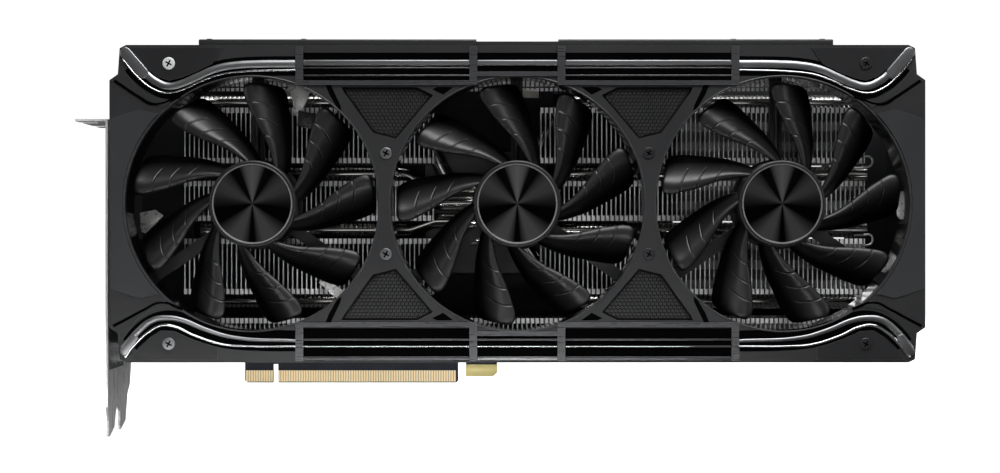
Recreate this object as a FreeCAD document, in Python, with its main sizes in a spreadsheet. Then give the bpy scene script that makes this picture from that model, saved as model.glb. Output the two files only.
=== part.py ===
import FreeCAD, Part
import math
import os
import re

import Sketcher
from FreeCAD import Rotation, Vector

# Graphics card, standing upright: +X runs along the card away from the slot bracket, +Z is up,
# and the three fans face -Y. The origin is the key notch of the edge connector, at the bottom
# edge of the board and in the middle of its thickness. All sizes are in millimetres.

SIZES = [
    # circuit board
    ("board_half", 0.8, "half the board's thickness"),
    ("board_left", -56.5, "board end beside the bracket"),
    ("board_right", 152, "board end under the third fan"),
    ("board_low", 8, "lower edge of the board beside the connector tongue"),
    ("board_top", 120, "upper edge of the board"),
    ("tongue_left", -12.3, "connector tongue, bracket end"),
    ("tongue_right", 72.9, "connector tongue, far end"),
    ("key_half", 0.95, "half the key notch"),
    ("contact_high", 4.9, "height of the gold contacts"),
    ("contact_thick", 0.1, "plating and copper of the contacts"),
    ("hook_left", 76, "retention hook, near side"),
    ("hook_right", 88.4, "retention hook, far side"),
    ("hook_low", 2.6, "lower edge of the retention hook"),
    # cooler stack, from the board forwards (towards -Y)
    ("package_side", 40, "side of the processor package"),
    ("package_thick", 1.6, "package substrate"),
    ("die_wide", 25, "processor die along X"),
    ("die_high", 22, "processor die along Z"),
    ("die_thick", 0.8, "processor die"),
    ("gpu_x", 84, "processor centre along X"),
    ("gpu_z", 68, "processor centre along Z"),
    ("cold_side", 48, "side of the cold plate"),
    ("cold_thick", 3.3, "thickness of the cold plate"),
    ("base_thick", 2.5, "thickness of the cooler's base plate"),
    ("chip_thick", 1.2, "memory chip"),
    ("pipe_radius", 3, "heat pipe"),
    ("seat_gap", 0.3, "solder gap between a pipe and the plate under it"),
    ("wing_front", 10, "front of the base plate's wing beside the sockets"),
    ("window_gap", 0.5, "clearance round parts that pass through the base plate"),
    ("fin_pitch", 1.79, "fin to fin"),
    ("fin_thick", 0.4, "one fin"),
    ("fin_front", 30.5, "distance of the fins' front edges from the board's middle plane"),
    ("fin_left", -31, "first fin"),
    ("fin_right", 229.4, "last fin"),
    ("fin_low", 16, "bottom of the fins"),
    ("fin_high", 124.5, "top of the fins"),
    ("cooler_height", 72, "middle of the cooler along Z"),
    ("pipe_row_outer", 39, "outer pipe rows, from the middle of the cooler"),
    ("pipe_row_inner", 11, "inner pipe rows, from the middle of the cooler"),
    ("wide_gap", 2.8, "open strip outside the outer pipes"),
    ("bend_outer", 30, "where the outer pipes leave their rows, from the processor's centre"),
    ("bend_inner", 30, "where the inner pipes leave their rows, from the processor's centre"),
    ("well_half", 20, "half the open well between the fins in front of the processor"),
    ("press_gap", 0.05, "radial gap where one motor part is pushed over another"),
    ("rail_thick", 0.5, "folded edges that join the fins"),
    ("rail_high", 2, "height of a folded edge"),
    ("pipe_clear", 0.4, "gap beside a pipe between the fin blocks"),
    ("pipe_end", 233.7, "far end of the pipes"),
    ("pipe_step", 7, "pipe to pipe on the cold plate"),
    # fans
    ("fan_height", 70.5, "height of the fans' axes"),
    ("fan_middle", "shroud_left + shroud_half", "middle fan's axis along X"),
    ("fan_pitch", 98, "fan to fan"),
    ("fan_opening", "fan_pitch / 2 - 2.2", "radius of the shroud's openings"),
    ("tip_gap", 1.3, "running gap between blade tips and duct"),
    ("duct_wall", 1.5, "wall of the ducts"),
    ("hub_radius", 16.2, "outside of the fan hub"),
    ("hub_wall", 1.2, "wall of the fan hub"),
    ("hub_front", "frame_front + 14.5", "distance of the hub's front from the board's middle plane"),
    ("hub_deep", 11.5, "depth of the hub"),
    ("disc_radius", 14.85, "spun metal disc on the hub"),
    ("disc_thick", 0.4, "spun metal disc on the hub"),
    ("magnet_wall", 2, "radial thickness of the ring magnet with its yoke"),
    ("stator_radius", 12.2, "outside of the stator poles"),
    ("shaft_radius", 1.5, "fan shaft"),
    ("shaft_fit", 0.03, "radial running clearance of the shaft in its bearing"),
    ("bearing_wall", 1.95, "wall of the sleeve bearing"),
    ("tube_wall", 1.1, "wall of the bearing tube"),
    ("frame_front", "fin_front + 5.5", "distance of the fan frame's front from the board's middle plane"),
    ("frame_thick", 2.6, "thickness of the fan frame"),
    ("strut_wide", 4.4, "width of a fan strut"),
    ("lead_radius", 0.8, "fan lead"),
    ("blade_thick", 1.3, "blade"),
    ("blade_front", "hub_front - 0.9", "distance of the blades' leading edges from the middle plane"),
    ("blade_back", "frame_front + 3.6", "distance of the blades' trailing edges from the middle plane"),
    # shroud
    ("shroud_front", "hub_front + 1.7", "distance of the shroud's face from the board's middle plane"),
    ("shroud_back", "fin_front - 0.5", "distance of the shroud's rear rim from the middle plane"),
    ("shroud_face", 1.8, "thickness of the shroud's face"),
    ("shroud_wall", 2, "thickness of the shroud's side walls"),
    ("shroud_left", -54.5, "shroud end beside the bracket"),
    ("shroud_half", "fan_pitch + fan_opening + 5.7", "half the shroud's length"),
    ("shroud_tall", "fan_opening + 11.8", "half the shroud's height"),
    ("trim_proud", 0.8, "how far the trims stand out from the face"),
    ("trim_wide", 2.4, "width of the bright wave trims"),
    ("rail_edge", "fan_opening - 3", "inner edge of the rails, from the fans' axis height"),
    ("rail_wide", 1.6, "width of the inner rail"),
    ("divider", 2.7, "width of the dividers across the bands"),
    ("divider_inner", 14.9, "inner dividers, from the middle fan's axis"),
    ("divider_outer", "shroud_half - 71.5", "outer dividers, from the middle fan's axis"),
    ("screw_radius", 1.2, "shroud screws"),
    ("screw_head", 2.3, "heads of the shroud screws"),
    ("mesh_thick", 1.0, "thickness of the mesh inserts"),
    ("bar_high", 2.6, "height of the light bar on the top edge"),
    # rear
    ("plate_gap", 1.7, "room between board and backplate"),
    ("plate_thick", 1.5, "backplate"),
    ("plate_left", -57.6, "backplate, bracket end"),
    ("plate_right", 246.2, "backplate, far end"),
    ("plate_low", 10, "lower edge of the backplate"),
    ("plate_high", 129, "upper edge of the backplate"),
    ("vent_wide", 6, "width of the flow-through slots"),
    ("vent_pitch", 9, "slot to slot"),
    # slot bracket and sockets
    ("bracket_face", -59.05, "outer face of the mounting bracket"),
    ("bracket_thick", 0.86, "sheet of the mounting bracket"),
    ("bracket_top", 102.7, "seat of the bracket's flange"),
    ("bracket_foot", -17.3, "tips of the bracket's tongues"),
    ("bracket_near", 39, "bracket edge on the fans' side"),
    ("flange_long", 11.43, "flange, measured away from the face"),
    ("slot_pitch", 20.32, "expansion slot to expansion slot"),
    ("notch_radius", 2.2, "screw notches in the flange"),
    ("socket_shell", 0.4, "sheet of the display sockets' shells"),
    ("socket_high", 6.6, "height of a display socket"),
    ("port_long", 17, "display socket along Z"),
    ("port_deep", 17, "display socket along X"),
    ("port_first", 25, "centre of the lowest display socket"),
    ("port_pitch", 20.5, "socket to socket"),
    ("plug_wide", 19.6, "power socket along X"),
    ("plug_deep", 9.8, "power socket along Y"),
    ("plug_low", 114.5, "foot of the power sockets"),
    ("plug_high", 127, "mouth of the power sockets"),
    ("plug_wall", 1.2, "wall of the power sockets"),
    ("switch_x", -38, "selector switch along X"),
    ("switch_travel", 2, "travel of the selector switch"),
]
FANS = (1, 2, 3)
FAN_PHASE = {1: 0, 2: 14, 3: 0}
BLADES = 9
STRUTS = (90, 215, 325)

doc = FreeCAD.newDocument("graphics_card")
sheet = doc.addObject("Spreadsheet::Sheet", "Sizes")
for row, (name, value, note) in enumerate(SIZES, start=1):
    sheet.set(f"A{row}", note)
    sheet.setAlias(f"B{row}", name)
for row, (name, value, note) in enumerate(SIZES, start=1):
    sheet.set(f"B{row}", f"={value}" if isinstance(value, str) else str(value))
doc.recompute()
VALUE = {name: float(sheet.get(name)) for name, value, note in SIZES}

WORDS = re.compile(r"[a-z_]+[a-z0-9_]*")
finished = []


def linked(text):
    """A formula in the sheet's names, written the way the document refers to them."""
    return WORDS.sub(lambda m: "Sizes." + m[0] if m[0] in VALUE else m[0], str(text))


def bind(item, field, text):
    item.setExpression(field, linked(text))


def number(text):
    """The value of a formula, for the few shapes that are made in code."""
    item = doc.getObject("reader") or doc.addObject("App::FeaturePython", "reader")
    if not hasattr(item, "value"):
        item.addProperty("App::PropertyFloat", "value")
    return float(item.evalExpression(linked(text)))


def place(item, x=0, y=0, z=0):
    for field, text in (("x", x), ("y", y), ("z", z)):
        bind(item, "Placement.Base." + field, text)
    return item


def box(name, x, y, z):
    """A block between two formulas along each axis."""
    item = place(doc.addObject("Part::Box", name), x[0], y[0], z[0])
    for field, (low, high) in (("Length", x), ("Width", y), ("Height", z)):
        bind(item, field, f"({high}) - ({low})")
    return item


def rod(name, radius, x, z, y):
    """A round bar along Y, from y[0] to y[1]."""
    item = doc.addObject("Part::Cylinder", name)
    item.Placement = FreeCAD.Placement(Vector(), Rotation(Vector(1, 0, 0), -90))
    place(item, x, y[0], z)
    bind(item, "Radius", radius)
    bind(item, "Height", f"({y[1]}) - ({y[0]})")
    return item


def sketch_on(body, name, role, corners, offset):
    """A closed outline of straight edges, each corner tied to two formulas."""
    sketch = body.newObject("Sketcher::SketchObject", name)
    plane = [item for item in body.Origin.OriginFeatures if item.Role == role][0]
    sketch.AttachmentSupport = (plane, "")
    sketch.MapMode = "FlatFace"
    bind(sketch, "AttachmentOffset.Base.z", offset)
    points = [Vector(number(x), number(z), 0) for x, z in corners]
    count = len(points)
    edges = [Part.LineSegment(points[i], points[(i + 1) % count]) for i in range(count)]
    sketch.addGeometry(edges, False)
    rules = [Sketcher.Constraint("Coincident", i, 2, (i + 1) % count, 1) for i in range(count)]
    for i, point in enumerate(points):
        rules.append(Sketcher.Constraint("DistanceX", -1, 1, i, 1, point.x))
        rules.append(Sketcher.Constraint("DistanceY", -1, 1, i, 1, point.y))
    sketch.addConstraint(rules)
    for i, (x, z) in enumerate(corners):
        sketch.setExpression(f"Constraints[{count + 2 * i}]", linked(x))
        sketch.setExpression(f"Constraints[{count + 2 * i + 1}]", linked(z))
    return sketch


def padded(name, role, corners, offset, span):
    """A body of one outline on a plane of its own, padded by the span."""
    body = doc.addObject("PartDesign::Body", name)
    sketch = sketch_on(body, name + "_outline", role, corners, offset)
    pad = body.newObject("PartDesign::Pad", name + "_pad")
    pad.Profile = sketch
    bind(pad, "Length", f"({span[1]}) - ({span[0]})")
    return body


def plate(name, corners, y):
    """A flat piece with an outline of corners in X and Z, between two formulas in Y."""
    return padded(name, "XZ_Plane", corners, f"0 - ({y[1]})", y)


def cut(name, base, *tools):
    item = doc.addObject("Part::Cut", name)
    item.Base = base
    item.Tool = tools[0] if len(tools) == 1 else fuse(name + "_tools", *tools)
    return item


def fuse(name, *pieces):
    if len(pieces) == 1:
        return pieces[0]
    item = doc.addObject("Part::MultiFuse", name)
    item.Shapes = list(pieces)
    return item


def group(name, *pieces):
    """Separate solids that share one node."""
    item = doc.addObject("Part::Compound", name)
    item.Links = list(pieces)
    return item


def coded(name, shape):
    item = doc.addObject("Part::Feature", name)
    item.Shape = shape
    return item


def finish(item, label):
    """Names a sub-part; its label names its file."""
    item.Label = label
    finished.append(item)
    return item


CORNERS = (("top_left", False, False), ("top_right", True, False),
           ("bottom_left", False, True), ("bottom_right", True, True))
DIE_FRONT = "(board_half + package_thick + die_thick)"
STACK = f"({DIE_FRONT} + cold_thick)"
PIPE_AXIS = f"({STACK} + seat_gap + pipe_radius)"
FACE_BACK = "(shroud_front - shroud_face)"
FAN_X = {1: "(fan_middle - fan_pitch)", 2: "fan_middle", 3: "(fan_middle + fan_pitch)"}
TUBE_IN = "(shaft_radius + shaft_fit + bearing_wall)"
TUBE_OUT = f"({TUBE_IN} + tube_wall)"
BOARD_SCREWS = ((-26, 16), (-26, 120), (50, 14.5), (50, 119), (142, 16), (125, 107))
FRONT_SCREWS = (("shroud_half - 22", "shroud_tall - 6.9"), ("fan_pitch / 2 - 0.5", "18.6"))
RETENTION = 22.5
EAR_HEIGHTS = ("board_low + 4", "bracket_top - 4")
PORTS = 3


def y_span(front, back):
    """A span in Y from two distances in front of the board's middle plane."""
    return (f"0 - ({front})", f"0 - ({back})")


# ---- shroud ----------------------------------------------------------------------------------
def shroud_outline(inset):
    """The shroud's outline, drawn in from its edge by a wall."""
    half = f"(shroud_half - {inset})"
    tall = f"(shroud_tall - {inset})"
    steps = ((f"{half} - 6.2", f"{tall}"), (f"{half} - 3.8", f"{tall} - 1.2"),
             (f"{half} - 3.1", f"{tall} - 10.8"), (f"{half}", f"{tall} - 13"))
    upper = [(f"fan_middle + {x}", f"fan_height + {z}") for x, z in steps]
    lower = [(f"fan_middle + {x}", f"fan_height - ({z})") for x, z in reversed(steps)]
    left_lower = [(f"fan_middle - ({x})", f"fan_height - ({z})") for x, z in steps]
    left_upper = [(f"fan_middle - ({x})", f"fan_height + {z}") for x, z in reversed(steps)]
    return upper + lower + left_lower + left_upper


def front_screw_places():
    """The eight screws in the shroud's face: one at each corner, four between the fans."""
    return [(f"fan_middle + {i} * ({x})", f"fan_height + {j} * ({z})")
            for x, z in FRONT_SCREWS for i in (-1, 1) for j in (-1, 1)]


def mesh_outline(grow, i, j):
    """A mesh insert, between two fan openings."""
    corners = ((65, 43.1), (37, 43.1), (31, 40.1), (44.8, 23.9), (53.4, 26.1), (64.2, 41.3))
    centre = (sum(x for x, z in corners) / 6, sum(z for x, z in corners) / 6)
    out = []
    for x, z in corners:
        far = math.hypot(x - centre[0], z - centre[1])
        x_grown = x + grow * (x - centre[0]) / far
        z_grown = z + grow * (z - centre[1]) / far
        out.append((f"fan_middle + {i} * {x_grown:.2f} * fan_pitch / 98",
                    f"fan_height + {j} * {z_grown:.2f} * fan_opening / 46.8"))
    return out


def make_shroud():
    block = plate("shroud_block", shroud_outline("0"), y_span("shroud_front", "shroud_back"))
    room = plate("shroud_room", shroud_outline("shroud_wall"), y_span(FACE_BACK, "shroud_back - 1"))
    shell = cut("shroud_shell", block, room)
    solids = [shell]
    holes = []
    for fan in FANS:
        solids.append(rod(f"duct_{fan}", "fan_opening + duct_wall", FAN_X[fan], "fan_height",
                          y_span(FACE_BACK, "frame_front")))
        holes.append(rod(f"opening_{fan}", "fan_opening", FAN_X[fan], "fan_height",
                         y_span("shroud_front + 1", "frame_front - 1")))
        holes.append(box(f"lead_notch_{fan}", (FAN_X[fan] + " - 1.4", FAN_X[fan] + " + 1.4"),
                         y_span("frame_front + 2 * lead_radius + 0.9", "frame_front - 1"),
                         ("fan_height + fan_opening - 2", "fan_height + fan_opening + duct_wall + 1")))
    for index, (x, z) in enumerate(front_screw_places()):
        solids.append(rod(f"boss_{index}", "screw_head + 0.9", x, z,
                          y_span(FACE_BACK, "fin_front + seat_gap")))
        holes.append(rod(f"screw_hole_{index}", "screw_radius + 0.1", x, z,
                         y_span("shroud_front + 1", "fin_front - 1")))
    for index, (i, j) in enumerate(((-1, 1), (1, 1), (-1, -1), (1, -1))):
        holes.append(plate(f"mesh_window_{index}", mesh_outline(0, i, j),
                           y_span("shroud_front + 1", f"{FACE_BACK} - 0.01")))
    solids.append(box("end_skirt", ("fan_middle + shroud_half - shroud_wall", "fan_middle + shroud_half"),
                      y_span("shroud_back + 1", "0.3 - board_half - plate_gap"),
                      ("fan_height - shroud_tall + 13.4", "fan_height + shroud_tall - 13.4")))
    holes.append(box("end_window", ("fan_middle + fan_pitch + fan_opening - 2",
                                    "fan_middle + shroud_half + 1"),
                     y_span("shroud_back + 14", "shroud_back + 3"),
                     ("fan_height - 6.5", "fan_height + 6.5")))
    body = fuse("shroud_solids", *solids)
    finish(cut("shroud_cut", body, *holes), "front_shroud")
    inserts = [plate(f"mesh_{index}", mesh_outline(1, i, j),
                     y_span(FACE_BACK, f"{FACE_BACK} - mesh_thick"))
               for index, (i, j) in enumerate(((-1, 1), (1, 1), (-1, -1), (1, -1)))]
    finish(group("mesh_group", *inserts), "mesh_inserts")


def make_front_screws():
    pieces = []
    for index, (x, z) in enumerate(front_screw_places()):
        corner = index < 4
        lift = "0.4" if corner else "0"
        head = rod(f"front_head_{index}", "screw_head", x, z,
                   y_span(f"shroud_front + {lift} + 0.5", f"shroud_front + {lift}"))
        shank = rod(f"front_shank_{index}", "screw_radius", x, z,
                    y_span(f"shroud_front + {lift}", "fin_front + 3"))
        pieces.append(fuse(f"front_screw_{index}", head, shank))
    finish(group("front_screw_group", *pieces), "shroud_screws")


def strip(points, width, i, j):
    """A bright strip that follows a smooth line across the face, as one solid."""
    middle, height = VALUE["fan_middle"], VALUE["fan_height"]
    half, tall = VALUE["shroud_half"], VALUE["shroud_tall"]
    line = Part.BSplineCurve()
    line.interpolate([Vector(middle + i * (half - x), 0, height + j * (tall - z)) for x, z in points])
    edges = ([], [])
    steps = 3 * len(points)
    first, last = line.FirstParameter, line.LastParameter
    for step in range(steps + 1):
        at = first + (last - first) * step / steps
        side = line.tangent(at)[0].cross(Vector(0, 1, 0)).normalize() * (width / 2)
        edges[0].append(line.value(at) + side)
        edges[1].append(line.value(at) - side)
    curves = []
    for edge in edges:
        curve = Part.BSplineCurve()
        curve.interpolate(edge)
        curves.append(curve.toShape())
    ends = [Part.makeLine(edges[0][k], edges[1][k]) for k in (0, -1)]
    face = Part.Face(Part.Wire(Part.__sortEdges__([curves[0], ends[1], curves[1], ends[0]])))
    solid = face.extrude(Vector(0, -VALUE["trim_proud"], 0))
    solid.translate(Vector(0, -VALUE["shroud_front"], 0))
    return solid


UPPER_WAVE = ((5.6, 2.8), (12.6, 9.9), (17.5, 13.8), (22, 15.3), (26.4, 14.4), (32, 12),
              (39, 9), (46, 7.6), (55, 7.1), (68.6, 7))
UPPER_LINE = ((10, 13.6), (15.6, 17), (21, 18.2), (27, 16.6), (34, 13.4), (41, 11), (50, 9.9), (60, 9.8))
LOWER_WAVE = ((5.2, 5.2), (11, 12.2), (16, 16.2), (21.5, 17), (27, 16), (35.5, 12.6), (45.3, 10), (68.6, 8.8))
LOWER_LINE = ((9.4, 6.6), (14, 10.6), (19, 13.4), (24, 13.2), (31.6, 9.8), (42, 6.6), (50, 6), (68.6, 5.9))


UPPER_CORNER = ((8, 1), (42, 1), (38, 7), (31.5, 10.2), (26, 12.3), (22, 13.2), (17.5, 11.6), (11.8, 6.9))
LOWER_CORNER = ((8, 1), (40, 1), (40, 5.6), (31, 8.4), (24, 11.6), (19, 11.8), (15.2, 9.4), (11, 5.6))


def corner_outline(i, j):
    """The flat plate outside the wave, at a corner of the face."""
    steps = UPPER_CORNER if j > 0 else LOWER_CORNER
    sides = ("+" if i > 0 else "-", "+" if j > 0 else "-")
    return [(f"fan_middle {sides[0]} (shroud_half - {x})", f"fan_height {sides[1]} (shroud_tall - {z})")
            for x, z in steps]


def make_trims():
    plates = []
    for name, right, low in CORNERS:
        i, j = (1 if right else -1), (-1 if low else 1)
        wide = VALUE["trim_wide"]
        lines = ((LOWER_WAVE, wide), (LOWER_LINE, wide * 0.45)) if low else \
                ((UPPER_WAVE, wide), (UPPER_LINE, wide * 0.35))
        shapes = [strip(points, width, i, j) for points, width in lines]
        finish(coded(f"wave_{name}", Part.makeCompound(shapes)), f"wave_trim_{name}")
        flat = plate(f"corner_{name}", corner_outline(i, j), y_span("shroud_front + 0.4", "shroud_front"))
        x, z = FRONT_SCREWS[0]
        hole = rod(f"corner_hole_{name}", "screw_radius + 0.1", f"fan_middle + {i} * ({x})",
                   f"fan_height + {j} * ({z})", y_span("shroud_front + 1", "shroud_front - 1"))
        plates.append(cut(f"corner_plate_{name}", flat, hole))
    finish(group("corner_group", *plates), "corner_plates")


def make_rail(name, sign):
    """The inner bar of a band with its four dividers."""
    proud = y_span("shroud_front + trim_proud", "shroud_front")
    near, far = "rail_edge", "shroud_tall - 0.6"
    pieces = []

    def bar(label, x, low, high):
        ends = (f"fan_height + {low}", f"fan_height + {high}") if sign > 0 else \
               (f"fan_height - ({high})", f"fan_height - ({low})")
        pieces.append(box(f"{name}_{label}", x, proud, ends))

    for side in (-1, 1):
        inner = ("fan_middle + divider_inner", "fan_middle + divider_inner + divider") if side > 0 else \
                ("fan_middle - divider_inner - divider", "fan_middle - divider_inner")
        outer = ("fan_middle + divider_outer", "fan_middle + divider_outer + divider") if side > 0 else \
                ("fan_middle - divider_outer - divider", "fan_middle - divider_outer")
        bar(f"inner_{side}", inner, near, far)
        bar(f"outer_{side}", outer, near, far)
        span = ("fan_middle + divider_inner + divider", "fan_middle + divider_outer") if side > 0 else \
               ("fan_middle - divider_outer", "fan_middle - divider_inner - divider")
        bar(f"bar_{side}", span, near, f"{near} + rail_wide")
    bar("centre", ("fan_middle - divider_inner", "fan_middle + divider_inner"), "fan_opening + 0.3",
        "fan_opening + 0.3 + rail_wide")
    finish(fuse(f"{name}_solids", *pieces), name)


def make_top_bar():
    low = "fan_height + shroud_tall"
    span = ("fan_middle - shroud_half + 32.5", "fan_middle + shroud_half - 33.5")
    finish(box("light_bar", span, y_span("shroud_front - 2", "shroud_back - 10"),
               (low, low + " + bar_high")), "top_light_bar")


# ---- fans ------------------------------------------------------------------------------------
def make_rotor(fan):
    """The hub with its nine swept blades, turned and patterned about the fan's axis."""
    body = doc.addObject("PartDesign::Body", f"rotor_body_{fan}")
    back = "0 - (hub_front - hub_deep)"
    hub = sketch_on(body, f"hub_{fan}", "XY_Plane",
                    [("0", "0 - hub_front"), ("hub_radius", "0 - hub_front"), ("hub_radius", back),
                     ("0", back)], "0")
    turned = body.newObject("PartDesign::Revolution", f"hub_turn_{fan}")
    turned.Profile = hub
    turned.ReferenceAxis = (hub, ["V_Axis"])
    turned.Angle = 360
    doc.recompute()
    sections = []
    for index, (out, lag, wide) in enumerate((("hub_radius - 5.2", 37, 6), ("hub_radius + 4", 24, 9),
                                              ("hub_radius + 14", 11, 13), ("fan_opening + 1", 0, 17))):
        centre = f"0 - ({out}) * {math.tan(math.radians(lag)):.4f}"
        front, rear = "0 - blade_front", "0 - blade_back"
        corners = [(front, f"{centre} + {wide / 2}"), (f"{front} + blade_thick", f"{centre} + {wide / 2}"),
                   (rear, f"{centre} - {wide / 2}"), (f"{rear} - blade_thick", f"{centre} - {wide / 2}")]
        sections.append(sketch_on(body, f"blade_{fan}_{index}", "YZ_Plane", corners, out))
    blade = body.newObject("PartDesign::AdditiveLoft", f"blade_loft_{fan}")
    blade.Profile = sections[0]
    blade.Sections = sections[1:]
    doc.recompute()
    pattern = body.newObject("PartDesign::PolarPattern", f"blades_{fan}")
    pattern.Originals = [blade]
    pattern.Axis = (hub, ["V_Axis"])
    pattern.Angle = 360
    pattern.Occurrences = BLADES
    body.Tip = pattern
    doc.recompute()
    sweep = rod(f"tip_circle_{fan}", "fan_opening - tip_gap", "0", "0",
                y_span("hub_front", "hub_front - hub_deep"))
    round_tips = doc.addObject("Part::Common", f"rotor_round_{fan}")
    round_tips.Base = body
    round_tips.Tool = sweep
    room = rod(f"hub_room_{fan}", "hub_radius - hub_wall", "0", "0",
               y_span("hub_front - hub_wall", "hub_front - hub_deep - 1"))
    rotor = cut(f"rotor_{fan}", round_tips, room)
    rotor.Placement = FreeCAD.Placement(Vector(), Rotation(Vector(0, 1, 0), -FAN_PHASE[fan]))
    place(rotor, FAN_X[fan], 0, "fan_height")
    finish(rotor, f"fan_rotor_{fan}")


def tube(name, outer, inner, x, y):
    """A ring on a fan's axis."""
    solid = rod(name + "_solid", outer, x, "fan_height", y)
    return cut(name, solid, rod(name + "_hole", inner, x, "fan_height", (f"{y[0]} - 1", f"{y[1]} + 1")))


def make_fan(fan):
    x = FAN_X[fan]
    make_rotor(fan)
    finish(rod(f"disc_{fan}", "disc_radius", x, "fan_height",
               y_span("hub_front + disc_thick", "hub_front")), f"hub_disc_{fan}")
    finish(tube(f"magnet_{fan}", "hub_radius - hub_wall - press_gap", "hub_radius - hub_wall - magnet_wall", x,
                y_span("hub_front - hub_wall - 0.8", "hub_front - hub_deep + 1")), f"magnet_ring_{fan}")
    finish(rod(f"shaft_{fan}", "shaft_radius", x, "fan_height",
               y_span("hub_front - hub_wall", "frame_front - frame_thick + 1")), f"fan_shaft_{fan}")
    base = rod(f"motor_base_{fan}", "hub_radius + 0.8", x, "fan_height",
               y_span("frame_front", "frame_front - frame_thick"))
    neck = rod(f"bearing_neck_{fan}", TUBE_OUT, x, "fan_height",
               y_span("hub_front - hub_wall - 1.2", "frame_front"))
    struts = []
    for index, turn in enumerate(STRUTS):
        corners = [("0", "0 - strut_wide / 2"), ("fan_opening + duct_wall", "0 - strut_wide / 2"),
                   ("fan_opening + duct_wall", "strut_wide / 2"), ("0", "strut_wide / 2")]
        strut = plate(f"strut_{fan}_{index}", corners, y_span("frame_front", "frame_front - frame_thick"))
        strut.Placement = FreeCAD.Placement(Vector(), Rotation(Vector(0, 1, 0), -turn))
        struts.append(place(strut, x, 0, "fan_height"))
    bore = rod(f"bearing_bore_{fan}", TUBE_IN, x, "fan_height",
               y_span("hub_front", "frame_front - frame_thick + 0.5"))
    frame = cut(f"frame_{fan}", fuse(f"frame_solids_{fan}", base, neck, *struts), bore)
    finish(frame, f"fan_frame_{fan}")


def make_motor_parts():
    bearings, stators, boards = [], [], []
    for fan in FANS:
        x = FAN_X[fan]
        bearings.append(tube(f"bearing_{fan}", TUBE_IN, "shaft_radius + shaft_fit", x,
                             y_span("hub_front - hub_wall - 1.2", "frame_front - frame_thick + 0.5")))
        ring = tube(f"stator_ring_{fan}", "stator_radius", f"{TUBE_OUT} + press_gap", x,
                    y_span("hub_front - hub_wall - 2.5", "frame_front + 5"))
        slots = []
        for pole in range(BLADES):
            turn = 2 * math.pi * pole / BLADES
            slots.append(rod(f"stator_slot_{fan}_{pole}", "stator_radius / 7",
                             f"{x} + stator_radius * 0.8 * {math.cos(turn):.5f}",
                             f"fan_height + stator_radius * 0.8 * {math.sin(turn):.5f}",
                             y_span("hub_front", "frame_front")))
        stators.append(cut(f"stator_{fan}", ring, *slots))
        boards.append(tube(f"motor_board_{fan}", "stator_radius + 0.3", f"{TUBE_OUT} + press_gap", x,
                           y_span("frame_front + 2.4", "frame_front + 1.2")))
    finish(group("bearing_group", *bearings), "fan_bearings")
    finish(group("stator_group", *stators), "fan_stators")
    finish(group("motor_board_group", *boards), "fan_motor_boards")


def bent_tube(points, radius, bend):
    """A round tube along straight runs joined by tangent arcs."""
    edges = []
    start = points[0]
    for before, corner, after in zip(points, points[1:], points[2:]):
        inward = (before - corner).normalize()
        onward = (after - corner).normalize()
        half = inward.getAngle(onward) / 2
        reach = min(bend / math.tan(half), 0.45 * (before - corner).Length, 0.45 * (after - corner).Length)
        first, last = corner + inward * reach, corner + onward * reach
        round_radius = reach * math.tan(half)
        middle = corner + (inward + onward).normalize() * (round_radius / math.sin(half) - round_radius)
        edges.append(Part.makeLine(start, first))
        edges.append(Part.Arc(first, middle, last).toShape())
        start = last
    edges.append(Part.makeLine(start, points[-1]))
    path = Part.Wire(edges)
    heading = (points[1] - points[0]).normalize()
    profile = Part.Wire(Part.makeCircle(radius, points[0], heading))
    solid = path.makePipeShell([profile], True, False)
    expected = math.pi * radius ** 2 * path.Length
    print(f"tube length {path.Length:.1f}, volume ratio {solid.Volume / expected:.4f}")
    return solid


def lead_points(fan):
    """A fan lead: from its motor along a strut, over the fins and down to its header."""
    x = number(FAN_X[fan])
    front = -(VALUE["frame_front"] + VALUE["lead_radius"] + 0.25)
    rise = VALUE["fin_high"] + VALUE["lead_radius"] + 0.6
    start = Vector(x, front, VALUE["fan_height"] + VALUE["stator_radius"] + 0.3)
    over = [Vector(HEADERS[fan], -3.2, rise), Vector(HEADERS[fan], -3.2, HEADER_TOP)]
    if fan < 3:
        return [start, Vector(x, front, rise)] + over
    return [start, Vector(x, front, rise), Vector(x - 12, -25, rise),
            Vector(HEADERS[fan] + 12, -21, rise)] + over


HEADERS = {1: 4, 2: 88, 3: 101}
HEADER_TOP = 119


def make_leads():
    for fan in FANS:
        finish(coded(f"lead_{fan}", bent_tube(lead_points(fan), VALUE["lead_radius"], 5)), f"fan_lead_{fan}")
    headers = [box(f"header_{fan}", (f"{x} - 4", f"{x} + 4"), y_span("board_half + 4.2", "board_half"),
                   (f"{HEADER_TOP} - 5.5", f"{HEADER_TOP}")) for fan, x in HEADERS.items()]
    finish(group("header_group", *headers), "fan_headers")


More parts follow.
